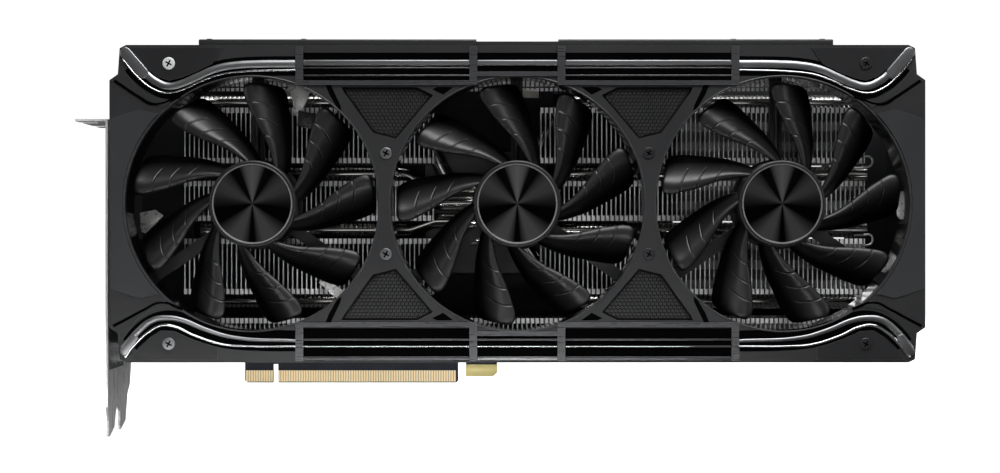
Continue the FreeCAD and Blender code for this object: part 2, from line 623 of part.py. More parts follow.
# ---- cooler ----------------------------------------------------------------------------------
def fin_block(name, left, right, low, high, behind=STACK):
    """A block of thin fins, joined along its upper and lower edges by their folded tabs."""
    left, right, low, high = (number(text) for text in (left, right, low, high))
    pitch, thick = VALUE["fin_pitch"], VALUE["fin_thick"]
    front, back = -VALUE["fin_front"], -number(behind)
    rail = VALUE["rail_thick"]
    first = math.ceil((left - VALUE["fin_left"]) / pitch)
    last = math.floor((right - VALUE["fin_left"]) / pitch)
    start = VALUE["fin_left"] + first * pitch
    end = VALUE["fin_left"] + last * pitch + thick

    def outline(x_low, x_high, y_low, y_high):
        corners = [Vector(x_low, y_low, low), Vector(x_high, y_low, low),
                   Vector(x_high, y_high, low), Vector(x_low, y_high, low)]
        return Part.makePolygon(corners + corners[:1])

    gaps = []
    for index in range(last - first):
        gap = start + index * pitch + thick
        gaps.append(outline(gap, gap + pitch - thick, front + rail, back - rail))
    section = Part.Face([outline(start, end, front, back)] + gaps)
    section.validate()
    block = section.extrude(Vector(0, 0, high - low))
    between = high - low - 2 * VALUE["rail_high"]
    for edge in (front - 1, back - rail):
        window = Part.makeBox(end - start + 2, rail + 1, between,
                              Vector(start - 1, edge, low + VALUE["rail_high"]))
        block = block.cut(window)
    return coded(name, block)


def make_fins():
    upper = ("cooler_height + pipe_row_inner + pipe_radius + pipe_clear",
             "cooler_height + pipe_row_outer - pipe_radius - pipe_clear")
    centre = ("cooler_height - pipe_row_inner + pipe_radius + pipe_clear",
              "cooler_height + pipe_row_inner - pipe_radius - pipe_clear")
    lower = ("cooler_height - pipe_row_outer + pipe_radius + pipe_clear",
             "cooler_height - pipe_row_inner - pipe_radius - pipe_clear")
    top = ("cooler_height + pipe_row_outer + pipe_radius + wide_gap", "fin_high")
    bottom = ("fin_low", "cooler_height - pipe_row_outer - pipe_radius - wide_gap")
    sockets = box("socket_room", ("board_right - 2 * plug_wide - 5", "board_right + 1"),
                  y_span("board_half + plug_deep + 0.6", "0"), ("plug_low - 1", "plug_high + 1"))
    finish(cut("fins_top_cut", fin_block("fins_top", "fin_left", "fin_right", *top), sockets),
           "fin_block_top")
    finish(fin_block("fins_bottom", "fin_left", "fin_right", *bottom), "fin_block_bottom")
    over_pipes = f"{PIPE_AXIS} + pipe_radius + 2 * pipe_clear"
    for side, outer, inner, bridge in (
            ("left", ("fin_left", "gpu_x - bend_outer - 5"), ("fin_left", "gpu_x - bend_inner - 4"),
             ("gpu_x - bend_outer - 10", "gpu_x - well_half")),
            ("right", ("gpu_x + bend_outer + 5", "fin_right"), ("gpu_x + bend_inner + 4", "fin_right"),
             ("gpu_x + well_half", "gpu_x + bend_outer + 10"))):
        blocks = []
        for row, span, heights in (("upper", outer, upper), ("centre", inner, centre), ("lower", outer, lower)):
            deep = fin_block(f"fins_{side}_{row}_deep", *span, *heights)
            shallow = fin_block(f"fins_{side}_{row}_shallow", *bridge, *heights, behind=over_pipes)
            blocks.append(fuse(f"fins_{side}_{row}", deep, shallow))
        finish(group(f"fins_{side}", *blocks), f"fin_block_{side}")


def make_pipes():
    """Four heat pipes, bent in one plane from the cold plate out to their rows in the fins."""
    depth = -number(PIPE_AXIS)
    centre_x, centre_z = VALUE["gpu_x"], VALUE["gpu_z"]
    pipes = []
    rows = ((1, "pipe_row_outer", 1.5, 14, "bend_outer"), (1, "pipe_row_inner", 0.5, 20, "bend_inner"),
            (-1, "pipe_row_inner", 0.5, 20, "bend_inner"), (-1, "pipe_row_outer", 1.5, 14, "bend_outer"))
    for index, (side, row, step, near, bend) in enumerate(rows):
        far = VALUE[bend]
        out = VALUE["cooler_height"] + side * VALUE[row]
        on = centre_z + side * step * VALUE["pipe_step"]
        route = [(VALUE["pipe_end"], out), (centre_x + far, out), (centre_x + near, on),
                 (centre_x - near, on), (centre_x - far, out), (VALUE["fin_left"] + 3, out)]
        pipes.append(coded(f"pipe_{index}", bent_tube([Vector(x, depth, z) for x, z in route],
                                                      VALUE["pipe_radius"], 9)))
    finish(group("pipe_group", *pipes), "heat_pipes")


def make_base():
    """The cooler's base plate, with windows for what stands taller than it."""
    half = "(cold_side / 2 + window_gap)"
    sheet_metal = box("base_box", ("fin_left - 2", "board_right"), y_span(STACK, f"{STACK} - base_thick"),
                      ("fin_low - 3.5", "fin_high"))
    wing = box("base_wing", ("board_left + 5", "fin_left - 0.4"), y_span("wing_front", "wing_front - 1.5"),
               ("fin_low", "board_top - 4"))
    step = box("base_step", ("fin_left - 2", "fin_left - 0.4"), y_span("wing_front", f"{STACK} - base_thick"),
               ("fin_low", "board_top - 4"))
    base = fuse("base_solids", sheet_metal, wing, step)
    deep = y_span(f"{STACK} + 1", f"{STACK} - base_thick - 1")
    tools = [box("cold_window", (f"gpu_x - {half}", f"gpu_x + {half}"), deep,
                 (f"gpu_z - {half}", f"gpu_z + {half}")),
             box("coil_window_left", ("gpu_x - 54.5", "gpu_x - 45.5"), deep, ("gpu_z - 40", "gpu_z + 38")),
             box("coil_window_right", ("gpu_x + 45.5", "gpu_x + 63"), deep, ("gpu_z - 40", "gpu_z + 38")),
             box("socket_window", ("board_right - 2 * plug_wide - 4.5", "board_right + 1"), deep,
                 ("plug_low - 1", "fin_high + 1"))]
    for fan, x in HEADERS.items():
        tools.append(box(f"header_window_{fan}", (f"{x} - 4.5", f"{x} + 4.5"), deep,
                         (f"{HEADER_TOP} - 6", "fin_high + 1")))
    for index, (x, z) in enumerate(BOARD_SCREWS):
        tools.append(rod(f"base_hole_{index}", "screw_radius + 0.05", x, z, deep))
    finish(cut("base_cut", base, *tools), "cooler_base")
    cold = box("cold_box", ("gpu_x - cold_side / 2", "gpu_x + cold_side / 2"), y_span(STACK, DIE_FRONT),
               ("gpu_z - cold_side / 2", "gpu_z + cold_side / 2"))
    taps = [rod(f"cold_tap_{index}", "screw_radius + 0.05", f"gpu_x + {i * RETENTION}",
                f"gpu_z + {j * RETENTION}", y_span(f"{STACK} - 0.8", "0"))
            for index, (i, j) in enumerate(((-1, -1), (-1, 1), (1, -1), (1, 1)))]
    finish(cut("cold_cut", cold, *taps), "cold_plate")


# ---- board -----------------------------------------------------------------------------------
def board_outline():
    return [("board_left", "board_low"), ("tongue_left", "board_low"), ("tongue_left", "0.8"),
            ("tongue_left + 0.8", "0"), ("0 - key_half", "0"), ("0 - key_half", "board_low - 0.6"),
            ("key_half", "board_low - 0.6"), ("key_half", "0"), ("tongue_right - 0.8", "0"),
            ("tongue_right", "0.8"), ("tongue_right", "board_low"), ("hook_left", "board_low"),
            ("hook_left", "hook_low"), ("hook_right - 1.5", "hook_low"), ("hook_right", "hook_low + 1.5"),
            ("hook_right", "board_low"), ("board_right", "board_low"), ("board_right", "board_top"),
            ("board_left", "board_top")]


def make_board():
    through = ("0 - board_half - 1", "board_half + 1")
    board = plate("board_plate", board_outline(), ("0 - board_half", "board_half"))
    holes = [rod(f"board_hole_{index}", "screw_radius + 0.3", x, z, through)
             for index, (x, z) in enumerate(BOARD_SCREWS)]
    for index, (i, j) in enumerate(((-1, -1), (-1, 1), (1, -1), (1, 1))):
        holes.append(rod(f"retention_hole_{index}", "screw_radius + 0.3", f"gpu_x + {i * RETENTION}",
                         f"gpu_z + {j * RETENTION}", through))
    for index, z in enumerate(EAR_HEIGHTS):
        holes.append(rod(f"ear_board_hole_{index}", "screw_radius + 0.3", "board_left + 5", z, through))
    finish(cut("board_cut", board, *holes), "circuit_board")
    pads = []
    for side, span in (("front", y_span("board_half + contact_thick", "board_half")),
                       ("back", ("board_half", "board_half + contact_thick"))):
        pads.append(box(f"contacts_{side}_short", ("tongue_left + 0.8", "0 - key_half - 0.3"), span,
                        ("0.4", "contact_high")))
        pads.append(box(f"contacts_{side}_long", ("key_half + 0.3", "tongue_right - 0.8"), span,
                        ("0.4", "contact_high")))
    finish(group("contact_group", *pads), "edge_contacts")


def chips(name, label, places, wide, high, y):
    """Equal rectangular parts on the board, centred on their places."""
    pieces = [box(f"{name}_{index}", (f"{x} - {wide / 2}", f"{x} + {wide / 2}"), y,
                  (f"{z} - {high / 2}", f"{z} + {high / 2}")) for index, (x, z) in enumerate(places)]
    finish(group(name + "_group", *pieces), label)


MEMORY = [(f"gpu_x + {i * 34}", f"gpu_z + {dz}") for i in (-1, 1) for dz in (-24, -8, 8, 24)]
COILS = [(f"gpu_x + {dx}", f"gpu_z - 34 + {9.4 * step:.1f}") for dx in (-50, 50) for step in range(8)]
SWITCHES = [(f"gpu_x + {dx}", f"gpu_z - 34 + {9.4 * step:.1f}") for dx in (-59, -67) for step in range(8)]


def make_components():
    half = "package_side / 2"
    finish(box("package", (f"gpu_x - {half}", f"gpu_x + {half}"),
               y_span("board_half + package_thick", "board_half"),
               (f"gpu_z - {half}", f"gpu_z + {half}")), "gpu_package")
    finish(box("die", ("gpu_x - die_wide / 2", "gpu_x + die_wide / 2"),
               y_span(DIE_FRONT, "board_half + package_thick"),
               ("gpu_z - die_high / 2", "gpu_z + die_high / 2")), "gpu_die")
    chips("memory", "memory_chips", MEMORY, 12, 14, y_span("board_half + chip_thick", "board_half"))
    chips("switch", "power_stages", SWITCHES, 5, 6, y_span("board_half + chip_thick", "board_half"))
    chips("pad", "thermal_pads", MEMORY + SWITCHES, 5, 6,
          y_span(f"{STACK} - base_thick", "board_half + chip_thick"))
    chips("coil", "inductors", COILS, 7, 7, y_span("board_half + 4.6", "board_half"))
    cans = [rod(f"can_{index}", 3, "gpu_x + 58.5", f"gpu_z - 34 + {9.4 * index:.1f}",
                y_span("board_half + 4.6", "board_half")) for index in range(8)]
    finish(group("can_group", *cans), "capacitors")


def make_power_sockets():
    for index in (1, 2):
        right = f"(board_right - 1 - {2 - index} * (plug_wide + 1))"
        front = "(board_half + plug_deep)"
        shell = box(f"plug_shell_{index}", (f"{right} - plug_wide", right), y_span(front, "board_half"),
                    ("plug_low", "plug_high"))
        room = box(f"plug_room_{index}", (f"{right} - plug_wide + plug_wall", f"{right} - plug_wall"),
                   y_span(f"{front} - plug_wall", "board_half + plug_wall"),
                   ("plug_low + plug_wall", "plug_high + 1"))
        pins = []
        for column in range(4):
            for line in range(2):
                x = f"({right} - plug_wide / 2 + {4.2 * (column - 1.5):.1f})"
                y = f"(0 - board_half - plug_deep / 2 + {4.2 * (line - 0.5):.1f})"
                pins.append(box(f"plug_pin_{index}_{column}_{line}", (f"{x} - 0.5", f"{x} + 0.5"),
                                (f"{y} - 0.5", f"{y} + 0.5"), ("plug_low + 0.5", "plug_high - 6")))
        finish(fuse(f"plug_{index}", cut(f"plug_hollow_{index}", shell, room), *pins),
               f"power_socket_{index}")


def make_selector():
    """The firmware selector on the board's upper edge: a housing and the slider in its slot."""
    shell = box("selector_shell", ("switch_x - 4.3", "switch_x + 4.3"),
                y_span("board_half + 3.6", "board_half"), ("board_top - 3.2", "board_top + 0.4"))
    slot = box("selector_slot", ("switch_x - 2 - 0.2", "switch_x + switch_travel + 0.2"),
               y_span("board_half + 2.7", "board_half + 0.9"), ("board_top - 1.6", "board_top + 1"))
    finish(cut("selector_cut", shell, slot), "selector_housing")
    finish(box("selector_knob", ("switch_x - 2", "switch_x"), y_span("board_half + 2.5", "board_half + 1.1"),
               ("board_top - 1.4", "board_top + 2")), "selector_slider")


# ---- rear and bracket ------------------------------------------------------------------------
def make_rear():
    back = ("board_half + plate_gap", "board_half + plate_gap + plate_thick")
    deep = ("board_half", "board_half + plate_gap + plate_thick + 1")
    outline = [("plate_left", "plate_low"), ("plate_right - 3", "plate_low"), ("plate_right", "plate_low + 6"),
               ("plate_right", "plate_high - 6"), ("plate_right - 3", "plate_high"),
               ("plate_left", "plate_high")]
    sheet_metal = plate("rear_plate", outline, back)
    seats = [rod(f"rear_seat_{index}", 3, x, z, ("board_half", "board_half + plate_gap"))
             for index, (x, z) in enumerate(BOARD_SCREWS)]
    tools = [rod(f"rear_hole_{index}", "screw_radius + 0.1", x, z, deep)
             for index, (x, z) in enumerate(BOARD_SCREWS)]
    tools.append(box("rear_window", ("gpu_x - 28", "gpu_x + 28"), deep, ("gpu_z - 28", "gpu_z + 28")))
    for index in range(8):
        left = f"board_right + 7 + {index} * vent_pitch"
        tools.append(box(f"vent_{index}", (left, f"{left} + vent_wide"), deep,
                         ("plate_low + 14", "plate_high - 14")))
    finish(cut("rear_cut", fuse("rear_solids", sheet_metal, *seats), *tools), "backplate")
    reach = RETENTION + 3.5
    arms = []
    for index, turn in enumerate((45, -45)):
        arm = plate(f"spring_arm_{index}", [(f"0 - {reach * math.sqrt(2):.2f}", "0 - 4"),
                                            (f"{reach * math.sqrt(2):.2f}", "0 - 4"),
                                            (f"{reach * math.sqrt(2):.2f}", "4"),
                                            (f"0 - {reach * math.sqrt(2):.2f}", "4")],
                    ("board_half", "board_half + 1.1"))
        arm.Placement = FreeCAD.Placement(Vector(), Rotation(Vector(0, 1, 0), turn))
        arms.append(place(arm, "gpu_x", 0, "gpu_z"))
    holes, screws = [], []
    for index, (i, j) in enumerate(((-1, -1), (-1, 1), (1, -1), (1, 1))):
        x, z = f"gpu_x + {i * RETENTION}", f"gpu_z + {j * RETENTION}"
        holes.append(rod(f"spring_hole_{index}", "screw_radius + 0.1", x, z, ("board_half - 1", "board_half + 2")))
        screws.append(fuse(f"spring_screw_{index}",
                           rod(f"spring_head_{index}", "screw_head", x, z,
                               ("board_half + 1.1", "board_half + 2.3")),
                           rod(f"spring_shank_{index}", "screw_radius", x, z,
                               (f"0 - {STACK} + 1.2", "board_half + 1.1"))))
    finish(cut("spring_cut", fuse("spring_cross", *arms), *holes), "retention_bracket")
    finish(group("spring_screws", *screws), "retention_screws")


def make_board_screws():
    pieces = []
    for index, (x, z) in enumerate(BOARD_SCREWS):
        outer = "board_half + plate_gap + plate_thick"
        pieces.append(fuse(f"board_screw_{index}",
                           rod(f"board_head_{index}", "screw_head", x, z, (outer, outer + " + 0.8")),
                           rod(f"board_shank_{index}", "screw_radius", x, z,
                               (f"0 - {STACK} + 0.5", outer))))
    for index, z in enumerate(EAR_HEIGHTS):
        pieces.append(fuse(f"ear_screw_{index}",
                           rod(f"ear_head_{index}", "screw_head", "board_left + 5", z,
                               y_span("board_half + bracket_thick + 1", "board_half + bracket_thick")),
                           rod(f"ear_shank_{index}", "screw_radius", "board_left + 5", z,
                               ("0 - board_half - bracket_thick", "board_half"))))
    finish(group("board_screw_group", *pieces), "board_screws")


# The bracket's lower edge and its two tongues: across from the near edge, and up from the foot.
TONGUES = ((0, 11.3), (2.4, 5.8), (1.2, 0), (4, 0), (11.5, 2.8), (13.7, 8.3), (17, 11.6), (20.6, 7.8),
           (20.6, 0.7), (22.5, 0.7), (30.2, 3.3), (33.5, 13.3), (38.2, 17.3))


def make_bracket():
    inner = "bracket_face + bracket_thick"
    sheet_x = ("bracket_face", inner)
    edge = "0 - bracket_near"
    outline = [(edge, "bracket_top")]
    outline += [(f"{edge} + {across}", f"bracket_foot + {up}") for across, up in TONGUES]
    outline += [("board_half", "board_low - 2"), ("board_half", "bracket_top")]
    pieces = [padded("bracket_sheet", "YZ_Plane", outline, "bracket_face", sheet_x),
              box("flange", ("bracket_face - flange_long", inner), (edge, "board_half"),
                  ("bracket_top - bracket_thick", "bracket_top"))]
    for index, z in enumerate(EAR_HEIGHTS):
        pieces.append(box(f"ear_{index}", (inner, "board_left + 9"),
                          y_span("board_half + bracket_thick", "board_half"), (f"{z} - 3.3", f"{z} + 3.3")))
    tools = []
    for index in range(2):
        y = f"(0 - 9.5 - {index} * slot_pitch)"
        high = ("bracket_top - bracket_thick - 1", "bracket_top + 1")
        notch = doc.addObject("Part::Cylinder", f"notch_{index}")
        place(notch, "bracket_face - flange_long + 4.6", y, high[0])
        bind(notch, "Radius", "notch_radius")
        bind(notch, "Height", "bracket_thick + 2")
        tools.append(notch)
        tools.append(box(f"notch_mouth_{index}", ("bracket_face - flange_long - 1",
                                                  "bracket_face - flange_long + 4.6"),
                         (f"{y} - notch_radius", f"{y} + notch_radius"), high))
    wide = ("bracket_face - 1", f"{inner} + 1")
    for index in range(PORTS + 1):
        z = f"(port_first + {index} * port_pitch)"
        tools.append(box(f"port_window_{index}", wide,
                         y_span("board_half + socket_high + 0.3", "board_half - 0.2"),
                         (f"{z} - port_long / 2 - 0.3", f"{z} + port_long / 2 + 0.3")))
    for index in range(11):
        z = f"(board_low + 5 + {index} * 7.6)"
        tools.append(box(f"bracket_vent_{index}", wide, (f"{edge} + 3", f"{edge} + 27"), (z, f"{z} + 4.4")))
    for index, z in enumerate(EAR_HEIGHTS):
        tools.append(rod(f"ear_hole_{index}", "screw_radius + 0.05", "board_left + 5", z,
                         y_span("board_half + bracket_thick + 1", "0")))
    finish(cut("bracket_cut", fuse("bracket_solids", *pieces), *tools), "io_bracket")


def display_socket(name, z, long):
    front = "(board_half + socket_high)"
    low = f"{z} - {long} / 2"
    high = f"{z} + {long} / 2"
    shell = box(name + "_shell", ("bracket_face", "bracket_face + port_deep"), y_span(front, "board_half"),
                (low, high))
    room = box(name + "_room", ("bracket_face - 1", "bracket_face + port_deep - 1"),
               y_span(f"{front} - socket_shell", "board_half + socket_shell"),
               (f"{low} + socket_shell", f"{high} - socket_shell"))
    tongue = box(name + "_tongue", ("bracket_face + 5.5", "bracket_face + port_deep - 0.5"),
                 y_span("board_half + socket_high / 2 + 0.6", "board_half + socket_high / 2 - 0.6"),
                 (f"{low} + 2.2", f"{high} - 2.2"))
    tail = box(name + "_tail", ("board_left", "bracket_face + port_deep"),
               y_span("board_half + socket_shell", "board_half"), (low, high))
    return fuse(name, cut(name + "_hollow", shell, room), tongue, tail)


def make_ports():
    ports = [display_socket(f"port_{index}", f"(port_first + {index} * port_pitch)", "port_long")
             for index in range(PORTS)]
    finish(group("port_group", *ports), "display_sockets")
    finish(display_socket("video_port", f"(port_first + {PORTS} * port_pitch)", "(port_long - 1.5)"),
           "video_socket")


def build():
    make_shroud()
    make_trims()
    make_rail("top_rail", 1)
    make_rail("bottom_rail", -1)
    make_top_bar()
    make_front_screws()
    for fan in FANS:
        make_fan(fan)
    make_motor_parts()
    make_leads()
    make_fins()
    make_pipes()
    make_base()
    make_board()
    make_components()
    make_power_sockets()
    make_selector()
    make_rear()
    make_board_screws()
    make_bracket()
    make_ports()
    doc.recompute()


def check():
    faults = [f"{item.Name}: {item.State}" for item in doc.Objects
              if "Invalid" in item.State or "Error" in item.State]
    for item in finished:
        if item.Shape.isNull() or not item.Shape.isValid() or not item.Shape.Solids:
            faults.append(f"{item.Label}: bad shape")
    if faults:
        raise RuntimeError("; ".join(faults))


def export():
    os.makedirs("parts", exist_ok=True)
    for item in finished:
        item.Shape.exportStep(os.path.join("parts", item.Label + ".step"))
        print(f"{item.Label}: {len(item.Shape.Solids)} solids, {item.Shape.Volume:.0f} mm3")


build()
check()
export()
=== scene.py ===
from math import atan2, cos, hypot, pi, prod, radians, sin

import bmesh
import bpy
from mathutils import Matrix, Vector


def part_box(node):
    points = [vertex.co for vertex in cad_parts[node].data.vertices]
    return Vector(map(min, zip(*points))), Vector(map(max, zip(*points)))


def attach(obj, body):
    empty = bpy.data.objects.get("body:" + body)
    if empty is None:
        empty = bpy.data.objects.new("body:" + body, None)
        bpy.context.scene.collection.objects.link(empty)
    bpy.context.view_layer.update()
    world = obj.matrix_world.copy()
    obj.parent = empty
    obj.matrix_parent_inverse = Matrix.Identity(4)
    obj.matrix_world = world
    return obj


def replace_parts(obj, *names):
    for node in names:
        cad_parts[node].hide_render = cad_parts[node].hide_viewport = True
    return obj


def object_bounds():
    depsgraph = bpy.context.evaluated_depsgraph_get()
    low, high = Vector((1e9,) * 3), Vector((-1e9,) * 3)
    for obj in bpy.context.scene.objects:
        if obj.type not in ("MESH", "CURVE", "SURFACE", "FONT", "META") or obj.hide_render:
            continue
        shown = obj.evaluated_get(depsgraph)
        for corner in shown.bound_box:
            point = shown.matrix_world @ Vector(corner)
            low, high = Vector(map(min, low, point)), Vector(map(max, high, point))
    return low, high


# Triple-fan graphics card, standing on its slot bracket's feet. +X runs along the card, +Z is up,
# and the fans face -Y. Sizes below are in millimetres and are turned to metres where they are used.

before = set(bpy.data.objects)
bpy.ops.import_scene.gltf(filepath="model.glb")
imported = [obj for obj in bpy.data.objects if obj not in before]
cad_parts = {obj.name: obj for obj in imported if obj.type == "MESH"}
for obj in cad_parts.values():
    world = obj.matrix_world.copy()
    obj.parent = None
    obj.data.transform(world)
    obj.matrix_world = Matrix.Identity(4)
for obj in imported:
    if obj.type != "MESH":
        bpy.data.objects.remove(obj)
cad_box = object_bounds()
MM = 0.001
UPRIGHT = (pi / 2, 0, 0)  # turns a piece's own Z axis to -Y
FANS = (1, 2, 3)


def middle(node):
    """The middle of the node's box along X and Z."""
    low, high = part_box(node)
    place = (low + high) / 2 / MM
    return place.x, place.z


def corners_of(node):
    """The node's lowest and highest corners."""
    low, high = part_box(node)
    return low / MM, high / MM


AXES = {fan: middle(f"hub_disc_{fan}") for fan in FANS}
CENTRE = AXES[2]
shroud_low, shroud_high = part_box("front_shroud")
FACE = shroud_low.y / MM
LEFT, BOTTOM = shroud_low.x / MM, shroud_low.z / MM
RIGHT, TOP = shroud_high.x / MM, shroud_high.z / MM


# ---- ways of working ----
def release():
    """Back to object mode with nothing selected."""
    if bpy.context.object and bpy.context.object.mode != "OBJECT":
        bpy.ops.object.mode_set(mode="OBJECT")
    bpy.ops.object.select_all(action="DESELECT")


def hold(piece):
    release()
    piece.select_set(True)
    bpy.context.view_layer.objects.active = piece


def edit(piece):
    hold(piece)
    bpy.ops.object.mode_set(mode="EDIT")


def pick(kind, test):
    """Selects the edited piece's corners, edges or faces whose middle passes the test."""
    bpy.ops.mesh.select_mode(type=kind)
    bpy.ops.mesh.select_all(action="DESELECT")
    mesh = bpy.context.object.data
    work = bmesh.from_edit_mesh(mesh)
    for part in {"VERT": work.verts, "EDGE": work.edges, "FACE": work.faces}[kind]:
        corners = [part] if kind == "VERT" else part.verts
        place = sum((v.co for v in corners), Vector()) / len(corners) / MM
        if test(place):
            part.select_set(True)
    work.select_flush_mode()
    bmesh.update_edit_mesh(mesh)


def added(name):
    """Names the primitive just added and puts its place into its mesh."""
    piece = bpy.context.object
    piece.name = name
    bpy.ops.object.transform_apply(location=True, rotation=True, scale=True)
    return piece


def block(name, x, y, z):
    """A box between two places along each axis."""
    release()
    bpy.ops.mesh.primitive_cube_add(size=1, location=[(a + b) / 2 * MM for a, b in (x, y, z)],
                                    scale=[(b - a) * MM for a, b in (x, y, z)])
    return added(name)


def rod(name, radius, x, z, y, sides=32):
    """A cylinder along Y, between two places."""
    release()
    bpy.ops.mesh.primitive_cylinder_add(vertices=sides, radius=radius * MM,
                                        depth=(y[1] - y[0]) * MM,
                                        location=(x * MM, (y[0] + y[1]) / 2 * MM, z * MM),
                                        rotation=UPRIGHT)
    return added(name)


def pull(*way):
    """Extrudes what is selected and moves it."""
    bpy.ops.mesh.extrude_region_move(TRANSFORM_OT_translate={"value": [s * MM for s in way]})


def inset(width):
    bpy.ops.mesh.inset(thickness=width * MM)


def plate(name, corners, front, back):
    """A flat plate, from a many-sided disc whose corners are put in place."""
    release()
    bpy.ops.mesh.primitive_circle_add(vertices=len(corners), radius=MM, fill_type="NGON",
                                      rotation=UPRIGHT)
    piece = added(name)
    for vertex, (x, z) in zip(piece.data.vertices, corners):
        vertex.co = (x * MM, back * MM, z * MM)
    edit(piece)
    bpy.ops.mesh.select_all(action="SELECT")
    pull(0, front - back, 0)
    return outward(piece)


def finish_with(piece, kind, **settings):
    """Adds one modifier and applies it."""
    hold(piece)
    modifier = piece.modifiers.new(kind.lower(), kind)
    for key, value in settings.items():
        setattr(modifier, key, value)
    bpy.ops.object.modifier_apply(modifier=modifier.name)
    return piece


def repeated(piece, count, step):
    """Sets out a row of the piece, each one a step further on."""
    return finish_with(piece, "ARRAY", count=count, use_relative_offset=False,
                       use_constant_offset=True,
                       constant_offset_displace=[length * MM for length in step])


def rounded(piece, width, segments=2):
    finish_with(piece, "BEVEL", width=width * MM, segments=segments, limit_method="ANGLE",
                angle_limit=radians(25))
    return smooth(piece)


def smooth(piece, angle=32):
    hold(piece)
    bpy.ops.object.shade_smooth_by_angle(angle=radians(angle))
    return piece


def outward(piece):
    """Merges seams and turns every face outwards."""
    edit(piece)
    bpy.ops.mesh.select_all(action="SELECT")
    bpy.ops.mesh.remove_doubles(threshold=1e-6)
    bpy.ops.mesh.normals_make_consistent(inside=False)
    release()
    return piece


def show(item):
    bpy.context.scene.collection.objects.link(item)


def copy_of(piece, name, move=(0, 0, 0), turn=0, flip=(1, 1, 1)):
    """A copy with its own mesh: flipped, then turned anticlockwise seen from -Y, then moved."""
    twin = piece.copy()
    twin.data = piece.data.copy()
    twin.name = name
    show(twin)
    twin.data.transform(Matrix.Translation(Vector(move) * MM)
                        @ Matrix.Rotation(-radians(turn), 4, "Y")
                        @ Matrix.Diagonal((*flip, 1)))
    if prod(flip) < 0:
        outward(twin)
    return twin


def four_ways(piece):
    """Copies mirrored into the four quarters about the face's centre, in place of the piece."""
    copies = [copy_of(piece, "quarter", (CENTRE[0], 0, CENTRE[1]), flip=(i, 1, j))
              for i in (1, -1) for j in (1, -1)]
    bpy.data.objects.remove(piece)
    return copies


def joined(name, pieces):
    release()
    for piece in pieces:
        piece.select_set(True)
    bpy.context.view_layer.objects.active = pieces[0]
    bpy.ops.object.join()
    pieces[0].name = name
    return pieces[0]


def carve(piece, tool):
    """Cuts the tool's room out of the piece."""
    finish_with(piece, "BOOLEAN", operation="DIFFERENCE", object=tool, solver="EXACT")
    bpy.data.objects.remove(tool)


def two_finishes(piece, first, second, test):
    """Gives the piece a finish, and a second one on the faces whose middle passes the test."""
    piece.data.materials.append(first)
    piece.data.materials.append(second)
    for face in piece.data.polygons:
        face.material_index = int(test(face.center / MM))


def dress(piece, finish=None, body="root"):
    """Lets the piece ride on its body, with one finish all over unless it has its own."""
    if finish:
        piece.data.materials.clear()
        piece.data.materials.append(finish)
    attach(piece, body)
    return piece


# ---- finishes ----
GRAIN_RANGE = (0.3, 0.7)    # a fine noise's middle range, which sets the gloss
CLOUD_RANGE = (0.35, 0.65)  # a coarse noise's middle range, which sets the hue
SHADOW = (0.02, 0.02, 0.021)
SMOOTHEST = 0.03
SHEEN_AND_WEAR_RADIUS = 0.25
FIN_PITCH = 1.79
VENT_PITCH = 7.6    # the backplate's slots, whose light falls on the fins
TRACK_TURN = 2600   # radians a metre across the copper tracks
SCORE_RADII = (25.5, 31.5, 37.5)
SCORE_DEPTH, SCORE_LEAN = 48, 0.35
RING_PITCH = 0.45
# Painted reflections round the spun disc: the angle in degrees and how light the painted reflection
# makes the metal there.
PAINTED_REFLECTION_WEDGES = ((0, .03), (8, .004), (30, .004), (42, .1), (55, .22), (72, .22), (80, .1), (86, .004),
          (94, .004), (100, .1), (108, .22), (125, .22), (138, .1), (150, .004), (172, .004),
          (180, .03), (190, .07), (202, .16), (216, .18), (228, .1), (237, .006), (250, .012),
          (259, .3), (270, .42), (281, .3), (290, .012), (303, .006), (312, .1), (324, .18),
          (338, .16), (350, .07), (360, .03))
PAINTED_REFLECTION_TINT = (0.42, 0.42, 0.43)


